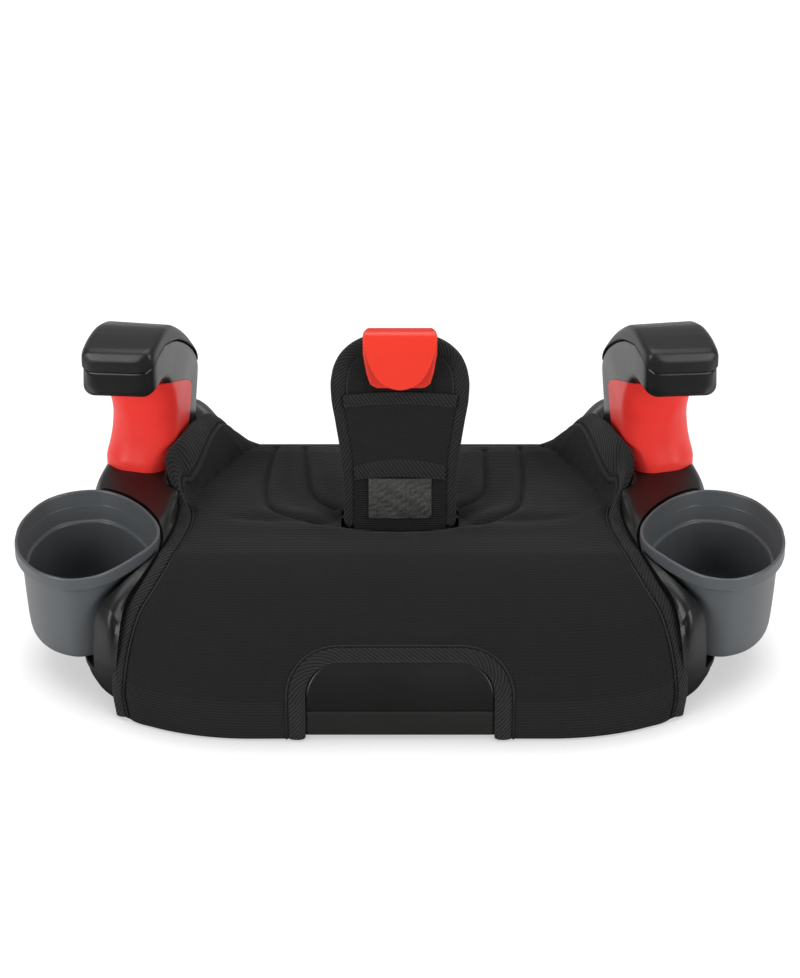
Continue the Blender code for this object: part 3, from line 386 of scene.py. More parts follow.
def sweep(name, path, normal, section, finish):
    """Sweeps a closed section of (across, out) pairs along a path, with out along `normal`."""
    path, section = np.asarray(path, float), np.asarray(section, float)
    tangent = unit(np.gradient(path, axis=0))
    normal = unit(normal - (normal * tangent).sum(1, keepdims=True) * tangent)
    side = np.cross(tangent, normal)
    rings = path[:, None] + side[:, None] * section[None, :, :1] + normal[:, None] * section[None, :, 1:]
    uv = flat_uv(*np.meshgrid(run_length(section), run_length(path)))
    return loft(name, rings, finish, uv)


def place(obj, body, slot, *nodes):
    """Puts a piece on its body and says which CAD nodes it stands for, hiding them; `slot` is not used."""
    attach(obj, body)
    if nodes:
        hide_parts(*nodes)
    return obj


# ---------------------------------------------------------------- materials

class Nodes:
    """Short hand for building a material's node tree."""

    def __init__(self, name):
        self.mat = bpy.data.materials.new(name)
        self.mat.use_nodes = True
        self.tree = self.mat.node_tree
        self.shader = self.tree.nodes["Principled BSDF"]

    def node(self, kind, values=None, **settings):
        made = self.tree.nodes.new(kind)
        for key, value in settings.items():
            setattr(made, key, value)
        for key, value in (values or {}).items():
            self.plug(made.inputs[key], value)
        return made

    def plug(self, socket, value):
        if isinstance(value, bpy.types.NodeSocket):
            self.tree.links.new(value, socket)
        else:
            socket.default_value = value

    def math(self, operation, a, b=0.0, c=0.0):
        return self.node("ShaderNodeMath", {0: a, 1: b, 2: c}, operation=operation).outputs[0]

    def uv(self):
        split = self.node("ShaderNodeSeparateXYZ", {0: self.node("ShaderNodeTexCoord").outputs["UV"]})
        return split.outputs[0], split.outputs[1]

    def wave(self, along, period):
        """0..1 sine along a coordinate in metres."""
        angle = self.math("MULTIPLY_ADD", along, 2 * math.pi / (period * MM))
        return self.math("MULTIPLY_ADD", self.math("SINE", angle), 0.5, 0.5)

    def noise(self, period, detail=3.0, rough=0.6):
        spot = self.node("ShaderNodeTexCoord").outputs["Object"]
        values = {"Vector": spot, "Scale": 1 / (period * MM), "Detail": detail, "Roughness": rough}
        return self.node("ShaderNodeTexNoise", values).outputs["Fac"]

    def spread(self, value, low, high):
        return self.node("ShaderNodeMapRange", {0: value, 3: low, 4: high}).outputs[0]

    def smooth(self, value, start, end):
        """0..1 as the value goes from start to end."""
        values = {0: value, 1: start, 2: end}
        return self.node("ShaderNodeMapRange", values, interpolation_type="SMOOTHSTEP").outputs[0]

    def blend(self, *parts):
        """Sum of (value, factor) pairs."""
        (value, factor), *rest = parts
        if rest:
            return self.math("MULTIPLY_ADD", value, factor, self.blend(*rest))
        return self.math("MULTIPLY", value, factor)

    def colour(self, low, high, share):
        mix = self.node("ShaderNodeMix", {0: share, 6: (*low, 1), 7: (*high, 1)}, data_type="RGBA")
        self.plug(self.shader.inputs["Base Color"], mix.outputs[2])

    def bump(self, height, depth):
        made = self.node("ShaderNodeBump", {"Height": height, "Distance": depth * MM, "Strength": 1.0})
        self.plug(self.shader.inputs["Normal"], made.outputs[0])

    def set(self, **values):
        for key, value in values.items():
            self.plug(self.shader.inputs[key.replace("_", " ")], value)
        return self.mat


def knit(name, period, base, lift=1.0):
    """Ribbed knit: courses across, fainter wales along, fuzz and slow shade changes."""
    n = Nodes(name)
    u, v = n.uv()
    wander = n.math("MULTIPLY", n.noise(14), 0.0011)
    course = n.wave(n.math("ADD", v, wander), period)
    wale = n.wave(u, period * 0.62)
    fuzz = n.noise(0.7, 4.0)
    slow = n.noise(45)
    yarn = n.blend((wale, 0.25), (course, 0.75))
    shade = n.blend((fuzz, 0.35), (slow, 0.25), (yarn, 0.5))
    n.colour([c * 0.72 for c in base], [c * 1.35 for c in base], shade)
    n.bump(n.math("MULTIPLY_ADD", fuzz, 0.4, yarn), 0.34 * lift)
    return n.set(Roughness=0.93, Sheen_Weight=0.07, Sheen_Roughness=0.5, Specular_IOR_Level=0.16)


def twill(name, period, base):
    """Narrow woven tape with a slanting rib."""
    n = Nodes(name)
    u, v = n.uv()
    slant = n.math("ADD", n.math("MULTIPLY", u, 0.8), n.math("MULTIPLY", v, 0.62))
    rib = n.wave(slant, period)
    thread = n.wave(n.math("SUBTRACT", v, n.math("MULTIPLY", u, 0.6)), period * 0.45)
    fuzz = n.noise(0.6, 4.0)
    shade = n.blend((fuzz, 0.3), (thread, 0.15), (rib, 0.55))
    n.colour([c * 0.22 for c in base], [c * 2.1 for c in base], shade)
    n.bump(n.math("MULTIPLY_ADD", thread, 0.25, n.math("MULTIPLY_ADD", fuzz, 0.2, rib)), 0.7)
    return n.set(Roughness=0.88, Sheen_Weight=0.08, Sheen_Roughness=0.45, Specular_IOR_Level=0.22)


def grosgrain(name, period, base):
    """Heavy webbing with ribs straight across."""
    n = Nodes(name)
    u, v = n.uv()
    rib = n.wave(v, period)
    thread = n.wave(u, period * 0.4)
    shade = n.blend((n.noise(0.6), 0.3), (thread, 0.2), (rib, 0.5))
    n.colour([c * 0.4 for c in base], [c * 1.6 for c in base], shade)
    n.bump(n.math("MULTIPLY_ADD", thread, 0.3, rib), 0.6)
    return n.set(Roughness=0.85, Specular_IOR_Level=0.25)


def grey(value):
    return (value, value, value)


def plastic(name, low, high, rough, grain=0.35, depth=0.02, level=0.5):
    """Moulded plastic: fine grain, and slow changes of gloss and colour."""
    n = Nodes(name)
    fine = n.noise(grain, 2.0)
    slow = n.noise(60)
    n.colour(low, high, slow)
    n.bump(fine, depth)
    gloss = n.spread(n.blend((fine, 0.3), (slow, 0.7)), rough * 0.82, rough * 1.2)
    return n.set(Roughness=gloss, Specular_IOR_Level=level)


def make_materials():
    made = {
        "knit": knit("knit_cover", 2.44, (0.0110, 0.0110, 0.0112)),
        "knit_fine": knit("knit_tether", 1.5, (0.0130, 0.0130, 0.0132), 0.8),
        "twill": twill("twill_tape", 2.3, (0.0170, 0.0170, 0.0173)),
        "web": grosgrain("strap_webbing", 1.7, (0.012, 0.012, 0.0125)),
        "thread": plastic("stitch_thread", grey(0.008), grey(0.014), 0.7),
        "shell": plastic("shell_plastic", (0.0035, 0.0033, 0.003), (0.0048, 0.0045, 0.0041), 0.4, 0.5, 0.01),
        "plate": plastic("plate_plastic", (0.006, 0.0058, 0.0056), (0.009, 0.0086, 0.0082), 0.42, 0.5),
        # Painted sheen: the lower strip is the plate's black plastic made lighter, for the front light its
        # lean catches.
        "strip": plastic("strip_plastic_painted_sheen", (0.014, 0.014, 0.0132), (0.019, 0.019, 0.018), 0.42, 0.5),
        "tray": plastic("tray_plastic", grey(0.008), grey(0.012), 0.5, 0.6, 0.03),
        "cup": plastic("cup_plastic", (0.084, 0.092, 0.098), (0.102, 0.110, 0.116), 0.38, 0.4),
        "arm": plastic("arm_plastic", grey(0.009), grey(0.014), 0.30, 0.45, 0.012, 0.40),
        "pad": plastic("pad_elastomer", grey(0.009), grey(0.014), 0.42, 1.1, 0.04),
        "red": plastic("red_plastic", (0.90, 0.036, 0.028), (0.97, 0.050, 0.040), 0.40, 0.5, 0.006, 0.4),
        "clip": plastic("clip_plastic", (0.76, 0.036, 0.018), (0.84, 0.046, 0.026), 0.30, 0.5, 0.004),
        "rubber": plastic("foot_rubber", grey(0.014), grey(0.022), 0.8, 0.5, 0.05),
        "foam": plastic("seat_foam", (0.42, 0.42, 0.43), (0.60, 0.60, 0.61), 0.95, 1.2, 0.5),
    }
    steel = Nodes("zinc_steel")
    steel.bump(steel.noise(0.3), 0.01)
    rough = steel.spread(steel.noise(3), 0.25, 0.45)
    made["steel"] = steel.set(Base_Color=(0.55, 0.56, 0.57, 1), Metallic=1.0, Roughness=rough)
    made["vinyl"] = vinyl()
    return made


def vinyl():
    """Crushed dark vinyl with rows of small holes, and painted shade darkening its lower end."""
    n = Nodes("patch_vinyl")
    u, v = n.uv()
    holes = n.math("GREATER_THAN", n.math("MULTIPLY", n.wave(u, 3.4), n.wave(v, 3.4)), 0.86)
    crush = n.noise(2.2, 5.0, 0.7)
    fine = n.noise(0.5)
    # Painted shade: the patch grows darker towards its lower end, where it goes down into the well's shadow.
    painted_well_shade = n.node("ShaderNodeMapRange", {0: v, 1: 0.004, 2: 0.030, 3: 0.30, 4: 1.15}).outputs[0]
    whole = n.math("SUBTRACT", 1.0, holes)
    shade = n.math("MULTIPLY", whole, n.math("MULTIPLY", painted_well_shade, n.spread(crush, 0.15, 1.3)))
    n.colour(grey(0.004), (0.046, 0.048, 0.043), shade)
    n.bump(n.math("SUBTRACT", n.math("MULTIPLY_ADD", fine, 0.3, crush), holes), 0.55)
    return n.set(Roughness=n.spread(crush, 0.3, 0.62), Specular_IOR_Level=0.6)


materials = make_materials()


# ---------------------------------------------------------------- seat cover

CHANNELS = [
    [(-92, 269), (-97, 209), (-97.5, 180), (-95, 162), (-84, 150), (-62, 142), (-44, 138)],
    [(90, 269), (89, 209), (88, 172), (84, 158), (71.5, 146), (56, 140), (44, 138)],
    [(-71, 269), (-66, 215), (-64, 190), (-58, 172), (-47, 162)],
    [(63, 260), (62, 215), (61, 190), (55, 174), (43, 165)],
]
CREASE = [
    (-158, 158), (-130, 148), (-97, 143), (-60, 139), (0, 136), (60, 139), (97, 143), (130, 148),
    (158, 158),
]
BOLSTER_SEAM = [(157, 160), (154, 172), (146, 192), (129, 226), (112, 264), (104, 284)]


def distance_to(points, x, y):
    """Distance from each (x, y) to a smoothed polyline."""
    path = smooth_path(points, 1.5)
    flat = np.stack([x.ravel(), y.ravel()], -1)
    best = np.full(len(flat), 1e9)
    for start in range(0, len(path), 40):
        part = path[start:start + 40]
        best = np.minimum(best, np.linalg.norm(flat[:, None] - part[None], axis=-1).min(1))
    return best.reshape(x.shape)


def soft_noise(x, y, seed, size):
    """Smooth random field in -1..1 from a few waves."""
    rng = np.random.default_rng(seed)
    total = np.zeros_like(x)
    for _ in range(9):
        angle, phase = rng.uniform(0, 2 * math.pi), rng.uniform(0, 2 * math.pi)
        scale = size * rng.uniform(0.6, 1.6)
        total += np.sin((x * math.cos(angle) + y * math.sin(angle)) * 2 * math.pi / scale + phase)
    return total / 5.0


def cover_relief(x, station, edge):
    """How far the cover stands off its plain surface: seams, channels, puffed panels and small folds."""
    depth = row_depth(x, station)
    relief = 0.0 * x
    top = ease((station - 60) / 60)
    for line in CHANNELS:
        d = distance_to(line, x, depth)
        relief += -2.3 * np.exp(-(d / 2.0) ** 2) + 1.0 * np.exp(-((d - 8) / 6.0) ** 2)
    crease = distance_to(CREASE, x, depth)
    inward = top * (1 - ease((np.abs(x) - 100) / 34))
    relief += inward * (-1.3 * np.exp(-(crease / 4.5) ** 2) + 0.7 * np.exp(-((crease - 12) / 7.0) ** 2))
    for side in (-1, 1):
        d = distance_to([(side * a, b) for a, b in BOLSTER_SEAM], x, depth)
        pucker = 0.1 * np.sin(depth / 1.9 + side) * np.exp(-(d / 5.0) ** 2)
        back = ease((depth - 162) / 26)
        relief += back * (-2.0 * np.exp(-(d / 1.9) ** 2) + 0.8 * np.exp(-((d - 9) / 7.0) ** 2) + pucker)
    well = np.hypot(x / 52.0, (depth - 146.0) / 19.0)
    relief += -7.5 * np.exp(-(np.maximum(0.0, well - 0.7) / 0.36) ** 2)
    inside = edge - np.abs(x)
    relief += -0.8 * (1 - ease((inside - 9.5) / 3.0)) + 0.5 * np.exp(-((inside - 17) / 5.0) ** 2)
    relief += 0.16 * soft_noise(x, depth + station, 3, 90)
    return relief


def spaced(*knots):
    """Values through all knots; each knot but the last is a pair with the step that follows it."""
    values = []
    for (a, step), b in zip(knots, [k[0] for k in knots[1:-1]] + [knots[-1]]):
        count = max(1, int(round((b - a) / step)))
        values += [a + (b - a) * i / count for i in range(count)]
    return np.array(values + [knots[-1]])


def build_cover():
    stations = spaced((HEM_Z - WALL_TOP, 2.2), (0, 1.2), (40, 2.0), (130, 1.5), COVER_REAR)
    columns = 241
    s, share = np.meshgrid(stations, np.linspace(-1, 1, columns), indexing="ij")
    edge = curve(COVER_EDGE, s)
    x = (edge - COVER_DRAWN_IN) * share
    point, normal = fabric(x, s), fabric_normal(x, s)
    relief = cover_relief(x, s, edge)
    relief = np.where(np.abs(share) > 0.999, 0.0, relief)
    top = point + normal * relief[..., None]
    bottom = point - normal * COVER_THICK
    run = run_length(point[:, columns // 2])
    cover = sheet("cover_fabric", top, bottom, "knit", flat_uv(x, run[:, None]))
    low, high = (-CUTOUT_HALF, FRONT_Y - 20, -CUTOUT_TOP), (CUTOUT_HALF, FRONT_Y + 34, CUTOUT_TOP)
    cut(cover, box_cutter(low, high, CUTOUT_RADIUS, 1))
    cut(cover, well_cutter())
    return place(cover, "base", "knit_fabric", "seat_cover")


def well_cutter():
    """Opening that the tether comes out of: bowed in front, and clear of the tether when it folds."""
    half, front, rear = WELL_HALF - 3.8, WELL_FRONT - 1.0, WELL_REAR + 3.0
    x = np.linspace(-half, half, 40)
    arc = front + 8.0 * (x / half) ** 2
    corners = [(half, rear - 2), (half - 2, rear), (2 - half, rear), (-half, rear - 2)]
    outline = np.concatenate([np.stack([x, arc], -1), corners])
    rings = []
    for z in (40.0, 150.0):
        rings.append(np.column_stack([outline[:, 0], outline[:, 1] + FRONT_Y, np.full(len(outline), z)]))
    return loft("cutter", rings, "knit")


TAPE = [
    (-9.6, -0.9), (-9.4, 0.3), (-7.8, 1.1), (-4.6, 1.7), (-1.8, 1.4), (0.0, 0.4), (0.9, -1.0), (1.0, -2.4),
    (0.3, -3.9), (-1.5, -4.3), (-8.0, -4.2), (-8.2, -1.6),
]


def fine_section(points):
    return smooth_path(points, 0.5, closed=True, rounds=2)


def ribbon(name, flat, section, finish):
    """Tape along the fabric: `flat` is its edge in (x, station), `section` pairs of (across, out)."""
    x, s = flat[:, 0], flat[:, 1]
    step = 0.8
    dx = (fabric(x + step, s) - fabric(x - step, s)) / (2 * step)
    ds = (fabric(x, s + step) - fabric(x, s - step)) / (2 * step)
    point, normal = fabric(x, s), fabric_normal(x, s)
    side = unit(np.cross(np.gradient(point, axis=0), normal))
    mixed = (dx * ds).sum(1)
    gram = np.stack([(dx * dx).sum(1), mixed, mixed, (ds * ds).sum(1)], -1).reshape(-1, 2, 2)
    aim = np.stack([(side * dx).sum(1), (side * ds).sum(1)], -1)
    move = np.linalg.solve(gram, aim[..., None])[..., 0]
    rings = []
    for across, out in section:
        spot = flat + move * across
        rings.append(fabric(spot[:, 0], spot[:, 1]) + fabric_normal(spot[:, 0], spot[:, 1]) * out)
    rings = np.array(rings).transpose(1, 0, 2)
    uv = flat_uv(*np.meshgrid(run_length(np.asarray(section)), run_length(point)))
    return loft(name, rings, finish, uv)


def cord_section(across, out, radius):
    turn = np.linspace(0, 2 * math.pi, 12, endpoint=False)
    return [(across + radius * math.cos(t), out + radius * math.sin(t)) for t in turn]


def build_edge_tape():
    """Tape round the cover's sides and rear, with a cord inside it."""
    stations = spaced((HEM_Z - WALL_TOP, 3.0), COVER_REAR - 4)
    left = np.stack([-curve(COVER_EDGE, stations), stations], -1)
    rear_half = float(curve(COVER_EDGE, COVER_REAR))
    rear = np.stack([np.linspace(-rear_half + 3, rear_half - 3, 60), np.full(60, COVER_REAR)], -1)
    right = left[::-1] * [-1, 1]
    flat = smooth_path(np.vstack([left, rear, right]), 2.0, rounds=2)
    body = [(-a, b) for a, b in fine_section(TAPE)]
    place(ribbon("cover_tape", flat, body, "twill"), "base", "knit_fabric")
    place(ribbon("cover_cord", flat, cord_section(11.0, 0.15, 0.75), "thread"), "base", "knit_fabric")


STITCH_LENGTH, STITCH_PITCH, STITCH_RADIUS = 2.6, 3.7, 0.32


def stitches(name, path, normal):
    """Row of short thread stitches lying along a path."""
    run = run_length(path)
    count = int(run[-1] / STITCH_PITCH)
    verts, faces = [], []
    for k in range(count):
        t = np.linspace(0, 1, 5)
        at = k * STITCH_PITCH + t * STITCH_LENGTH
        middle = np.stack([np.interp(at, run, path[:, i]) for i in range(3)], -1)
        up = np.stack([np.interp(at, run, normal[:, i]) for i in range(3)], -1)
        middle = middle + up * (0.18 * np.sin(t * math.pi))[:, None]
        side = np.cross(unit(np.gradient(middle, axis=0)), up)
        start = len(verts)
        for i in range(5):
            size = STITCH_RADIUS * (0.55 if i in (0, 4) else 1.0)
            for j in range(6):
                turn = 2 * math.pi * j / 6
                verts.append(middle[i] + size * (side[i] * math.cos(turn) + up[i] * math.sin(turn)))
        faces += grid_faces(5, 6, wrap_cols=True, offset=start)
        faces += [tuple(start + j for j in range(5, -1, -1)), tuple(start + 24 + j for j in range(6))]
    obj = mesh_object(name, np.array(verts), faces, "thread")
    fix_normals(obj)
    return obj


def front_profile():
    """Stations up the middle of the cover's front from the hem, and the length of fabric to each."""
    s = spaced((HEM_Z - WALL_TOP, 1.0), 60)
    return s, run_length(fabric(0 * s, s))


def build_cutout_tape():
    """Tape round the front plate's opening."""
    s, arc = front_profile()
    z = fabric(0 * s, s)[:, 2]
    top, half, radius = float(np.interp(CUTOUT_TOP, z, arc)), CUTOUT_HALF, CUTOUT_RADIUS
    across, up = half - radius, top - radius
    turns = np.linspace(0, math.pi / 2, 14)
    corner = [(across + radius * math.sin(a), up + radius * math.cos(a)) for a in turns]
    flat = [(-x, v) for x, v in reversed(corner)] + corner
    flat = [(-half, 0.0)] + flat + [(half, 0.0)]
    flat = smooth_path(flat, 1.2, rounds=2)
    station = np.interp(flat[:, 1], arc, s)
    flat = np.stack([flat[:, 0], station], -1)
    body = [(a * 1.12, b) for a, b in fine_section(TAPE)]
    place(ribbon("plate_tape", flat, body[::-1], "twill"), "base", "knit_fabric")
    place(ribbon("plate_cord", flat, cord_section(-12.2, 0.25, 0.75), "thread"), "base", "knit_fabric")


# ---------------------------------------------------------------- base mouldings

def cup_ring(side, inset, z):
    count = 160
    turn = np.linspace(-180, 180, count, endpoint=False)
    radius = curve(CUP_RADIUS, turn) - inset
    angle = np.radians(turn)
    x = side * (CUP_X - radius * np.cos(angle))
    ring = np.stack([x, CUP_DEPTH + radius * np.sin(angle) + FRONT_Y, np.full(count, float(z))], -1)
    return ring[::-1] if side > 0 else ring


def arm_spot(side, run, out):
    run = run - ARM_SKEW * out * (1 - ease(run / 45))
    x = ARM_X - run * math.sin(ARM_TOE) + out * math.cos(ARM_TOE)
    return side * x, ARM_DEPTH + run * math.cos(ARM_TOE) + out * math.sin(ARM_TOE) + FRONT_Y


def arm_section(side, upper, lower, half, shift, upper_radius, lower_radius):
    """Rounded rectangle between two (run, z) points, as an array of points."""
    steps, flats = 9, 5
    run = np.array([upper[0] - lower[0], upper[1] - lower[1]], float)
    size = np.linalg.norm(run)
    run = run / size
    outline = []
    corners = ((1, size, upper_radius), (-1, size, upper_radius),
               (-1, 0, lower_radius), (1, 0, lower_radius))
    for k, (sign, level, radius) in enumerate(corners):
        radius = min(radius, size * 0.48, half * 0.95)
        across, up = sign * (half - radius), level - radius if level else radius
        for turn in np.radians(np.linspace(90 * k, 90 * k + 90, steps)):
            outline.append((across + radius * math.cos(turn), up + radius * math.sin(turn)))
    outline = np.array(outline)
    filled = []
    for i, p in enumerate(outline):
        filled.append(p)
        if (i + 1) % steps == 0:
            q = outline[(i + 1) % len(outline)]
            filled += [p + (q - p) * k / (flats + 1) for k in range(1, flats + 1)]
    out, up = np.array(filled).T
    along = lower[0] + run[0] * up
    level = lower[1] + run[1] * up
    x, y = arm_spot(side, along, shift + out)
    roll = ARM_ROLL * (1 - ease((along - 40) / 70)) * ease((level - 120) / 60)
    return np.stack([x, y, level - roll * out], -1)


def by_index(values, t):
    return curve(list(enumerate(values)), t)


def point_at(points, t):
    """Point at a fractional place in a list of (run, z) points."""
    return np.array([by_index(values, t) for values in zip(*points)])


def arm_loft_rings(side, skin=0.0):
    """Dense rings of the arm and post, `skin` inside the surface, from its tip down to the pedestal."""
    last = len(SEAM) - 1
    rings = []
    for t in np.concatenate([np.linspace(0, 1, 9)[:-1], np.arange(1, last, 0.16), [last]]):
        upper, lower = point_at(SEAM, t), point_at(UNDER, t)
        half, shift = float(by_index(ARM_HALF, t)), float(by_index(ARM_SHIFT, t))
        run = unit(upper - lower)
        bend = float(ease((t - 4) / 5))
        lower = lower + run * skin
        if skin:
            upper = upper + run * 6
        rounded = 2.0 + 8 * float(ease((t - 9.3) / 2.2))
        rings.append(arm_section(side, upper, lower, half - skin, shift, rounded, 8 + 11 * bend))
    return rings


def domed(rings, depth):
    """Rings with a rounded cap put before the first one, as an ellipse's arc from the angle `start`."""
    shrink, start, steps = 0.30, 0.6, 8
    first = rings[0]
    centre, ahead = first.mean(0), rings[0].mean(0) - rings[1].mean(0)
    ahead = unit(ahead)
    cap = []
    for turn in np.linspace(math.pi / 2, start, steps, endpoint=False):
        size = 1 - shrink * (math.cos(start) - math.cos(turn)) / math.cos(start)
        bulge = depth * (math.sin(turn) - math.sin(start)) / (1 - math.sin(start))
        cap.append(centre + (first - centre) * size + ahead * bulge)
    return cap + rings


FOOT_RADII = (10, 19)
TAIL_LEVELS = ((90, 0.0), (64, 2.0))
SOCKET_LEVELS = ((60, 2.0), (90, 0.0), (114, 0.0))
GUIDE_FOOT = (16, 104)


def foot_rings(side, grow, levels):
    """Level rings of the post's foot, for pairs of height and taper."""
    rings = []
    for z, taper in levels:
        upper = (SEAM[-1][0] - taper + grow, z)
        lower = (UNDER[-1][0] + taper - grow, z)
        half = ARM_HALF[-1] - taper + grow
        rings.append(arm_section(side, upper, lower, half, ARM_SHIFT[-1], *FOOT_RADII))
    return rings


def prism(side, outline, half):
    rings = []
    for out in (-half, half):
        x, y = arm_spot(side, np.array([p[0] for p in outline], float), out)
        rings.append(np.stack([x, y, [p[1] for p in outline]], -1))
    return loft("cutter", rings, "red")


def guide_outline(grow):
    """Side view of the red guide, `grow` larger all round."""
    line = smooth_path(GUIDE_SEAM, 2.0, rounds=2)
    middle = np.array([61.0, 150.0])
    line = line + unit(line - middle) * grow
    return [tuple(p) for p in line] + [(GUIDE_FOOT[0] - grow, GUIDE_FOOT[1] - grow)]


def build_arms():
    """Both arms with their posts, the red guides let into them, and the pads."""
    for side, word in ((-1, "left"), (1, "right")):
        full = arm_loft_rings(side)
        inner = arm_loft_rings(side, GUIDE_SKIN + GAP)
        tail = foot_rings(side, 0.0, TAIL_LEVELS)
        body = loft(f"arm_{word}", domed(full, 1.6) + tail, "arm")
        upper, lower = (SEAM[-1][0] + 6, 96), (UNDER[-1][0] + GUIDE_SKIN + GAP, 96)
        half = ARM_HALF[-1] - GUIDE_SKIN - GAP
        core_foot = arm_section(side, upper, lower, half, ARM_SHIFT[-1], *FOOT_RADII)
        region = prism(side, guide_outline(GAP), 60)
        cut(region, loft("core", inner + [core_foot], "arm"))
        cut(body, region)
        guide = loft(f"belt_guide_{word}_skin", full + tail, "red")
        cut(guide, prism(side, guide_outline(0.0), 70), "INTERSECT")
        cut(guide, loft("core", arm_loft_rings(side, GUIDE_SKIN) + [core_foot], "red"))
        place(body, "base", "arm_plastic", f"armrest_{word}")
        place(guide, "base", "red_plastic", f"belt_guide_{word}")
        place(build_pad(side, word), "base", "soft_pad", f"armrest_pad_{word}")


def build_pad(side, word):
    """Soft cap on the arm, thinning towards its rear end."""
    last = len(CROWN) - 1
    rings = []
    for t in np.concatenate([np.linspace(0, 2, 15)[:-1], np.arange(2, last, 0.15), [last]]):
        upper, lower = point_at(CROWN, t), point_at(CROWN_FOOT, t)
        thin = 1 - 0.62 * float(ease((t - 6.0) / 5.0))
        upper = lower + (upper - lower) * thin
        rings.append(arm_section(side, upper, lower, float(by_index(CROWN_HALF, t)), 0.0, 9, 1.5))
    return loft(f"arm_pad_{word}", domed(rings, 1.8), "pad")


def build_shell():
    """Upper moulding at full smoothness, with its pockets, sockets and strap slot, and the front plate."""
    stations = spaced((0, 0.5), (12, 1.2), (60, 2.0), (140, 1.5), (230, 3.0), (320, 1.5), DEPTH)
    rows = []
    for station in stations:
        edge = float(curve(COVER_EDGE, station))
        outside = edge + 3.2 + (HALF_WIDTH - edge - 3.2) * (1 - (1 - np.linspace(0, 1, 56)[1:]) ** 1.5)
        beside = [edge + 0.8, edge + 1.6, edge + 2.4, edge + 3.2]
        half = np.concatenate([np.linspace(0, edge, 40), beside, outside])
        x = np.concatenate([-half[:0:-1], half])
        depth = row_depth(x, station + 0 * x)
        rows.append(np.stack([drawn_in(x, depth), depth + FRONT_Y, shoulder_height(x, depth)], -1))
    top = np.array(rows)
    ahead = ease((130 - stations) / 25)[1:-1, None]
    for k in range(40):
        level = top[..., 2]
        pull = 0.5 if k < 6 else 0.5 * ahead
        around = level[2:, 1:-1] + level[:-2, 1:-1] + level[1:-1, 2:] + level[1:-1, :-2]
        level[1:-1, 1:-1] += pull * (around / 4 - level[1:-1, 1:-1])
    top = walled(top, PARTING_Z)
    bottom = top * [1, 1, 0] + [0, 0, PARTING_Z]
    shell = sheet("shell_moulding", top, bottom, "shell", top.reshape(-1, 3)[:, :2] * MM)
    merge_close(shell)
    hem = HEM_Z - WALL_TOP
    s = np.concatenate([[hem - 9], spaced((hem, 5), (0, 2), (60, 4), (140, 2), COVER_REAR)])
    sg, share = np.meshgrid(s, np.linspace(-1, 1, 141), indexing="ij")
    x = curve(COVER_EDGE, sg) * share
    face, normal = fabric(x, sg), fabric_normal(x, sg)
    over = ease(sg / 30)[..., None]
    lift = np.concatenate([0 * over, -25 * (1 - over), 45 * over], -1)
    under = face - normal * (COVER_THICK + GAP)
    cut(shell, sheet("cutter", face + lift, under, "shell", flat_uv(x, x)))
    for side in (-1, 1):
        pocket = [cup_ring(side, -POCKET_GAP, z) for z in (POCKET_FLOOR, 150)]
        cut(shell, loft("cutter", pocket, "shell"))
        cut(shell, loft("cutter", foot_rings(side, 0.4, SOCKET_LEVELS), "shell"))
    slot_y = TETHER_DEPTH + FRONT_Y
    cut(shell, box_cutter((-44, slot_y - 8, 40), (44, slot_y + 14, 130), 4))
    place(shell, "base", "shell_plastic", "upper_shell")
    build_plate()


def build_plate():
    """Front plate: crowned panel over a plain lower strip, with a narrow seam between them."""
    half, top, seam, radius = CUTOUT_HALF - 0.8, CUTOUT_TOP - 0.6, 24.6, CUTOUT_RADIUS - 0.8
    # The strip's lighter finish is painted sheen, for the light its lean catches.
    pieces = (("front_plate", "plate", seam, top, 0.5), ("front_strip", "strip", 3.2, seam - 0.7, 0.9))
    for name, finish, foot, head, front in pieces:
        rows = []
        for t in np.linspace(0, 1, 60):
            z = foot + (head - foot) * t
            width = half
            if z > top - radius:
                width = half - radius + math.sqrt(max(0.0, radius ** 2 - (z - top + radius) ** 2))
            near = min((z - foot) / 1.3, (head - z) / 2.2, 1.0)
            share = np.sin(np.linspace(-math.pi / 2, math.pi / 2, 90))
            x = width * share
            edge = np.minimum(near, (width - np.abs(x)) / 2.0 + 0.001)
            roll = 1.6 * (1 - np.sqrt(np.clip(edge, 0, 1)))
            lean = 1.2 + 0.0103 * max(0.0, z - 26) ** 2
            rows.append(np.stack([x, FRONT_Y + front - 0.4 + roll + lean, np.full(90, z)], -1))
        face = np.array(rows)
        plate = sheet(name, face, face + [0, 6, 0], finish, flat_uv(face[..., 0], face[..., 2]))
        place(plate, "base", "shell_plastic")


# inset from the rim and height
CUP_PROFILE = [
    (24, 30.2), (16, 30.0), (11.5, 31.0), (8.8, 34.5), (7.4, 42), (6.2, 60), (5.0, 86), (4.7, 93),
    (4.6, 95.0), (4.2, 95.6), (3.4, 95.7), (0.6, 95.7), (0.15, 96.0), (0, 96.6), (0, 98), (0, 104),
    (0.1, 105.2), (0.6, 105.9), (1.2, 106.0), (1.9, 105.9), (2.3, 105.4), (2.5, 104.4), (6.6, 84.6),
    (6.8, 83.9), (8.0, 83.4), (8.5, 83.0), (8.7, 82.2), (9.6, 60), (10.2, 44), (11.2, 38), (14, 34.2),
    (19, 33.0), (26, 32.8),
]


def build_cups():
    """Grey cups; the profile runs up outside, over the lip and down inside."""
    profile = smooth_path(CUP_PROFILE, 0.7, rounds=1)
    for side, word in ((-1, "left"), (1, "right")):
        rings = [cup_ring(side, inset, z) for inset, z in profile]
        cup = loft(f"cup_{word}", rings, "cup")
        place(cup, f"cup_{word}", "cup_plastic", f"cup_holder_{word}")


# ---------------------------------------------------------------- tether

def tether(x, up, out):
    """Points of the leaning tether from arrays of across, up and out."""
    x, up, out = np.broadcast_arrays(x, up, out)
    y = TETHER_DEPTH + FRONT_Y + up * math.sin(TETHER_LEAN) + out * math.cos(TETHER_LEAN)
    z = TETHER_Z + up * math.cos(TETHER_LEAN) - out * math.sin(TETHER_LEAN)
    return np.stack([x, y, z], -1)


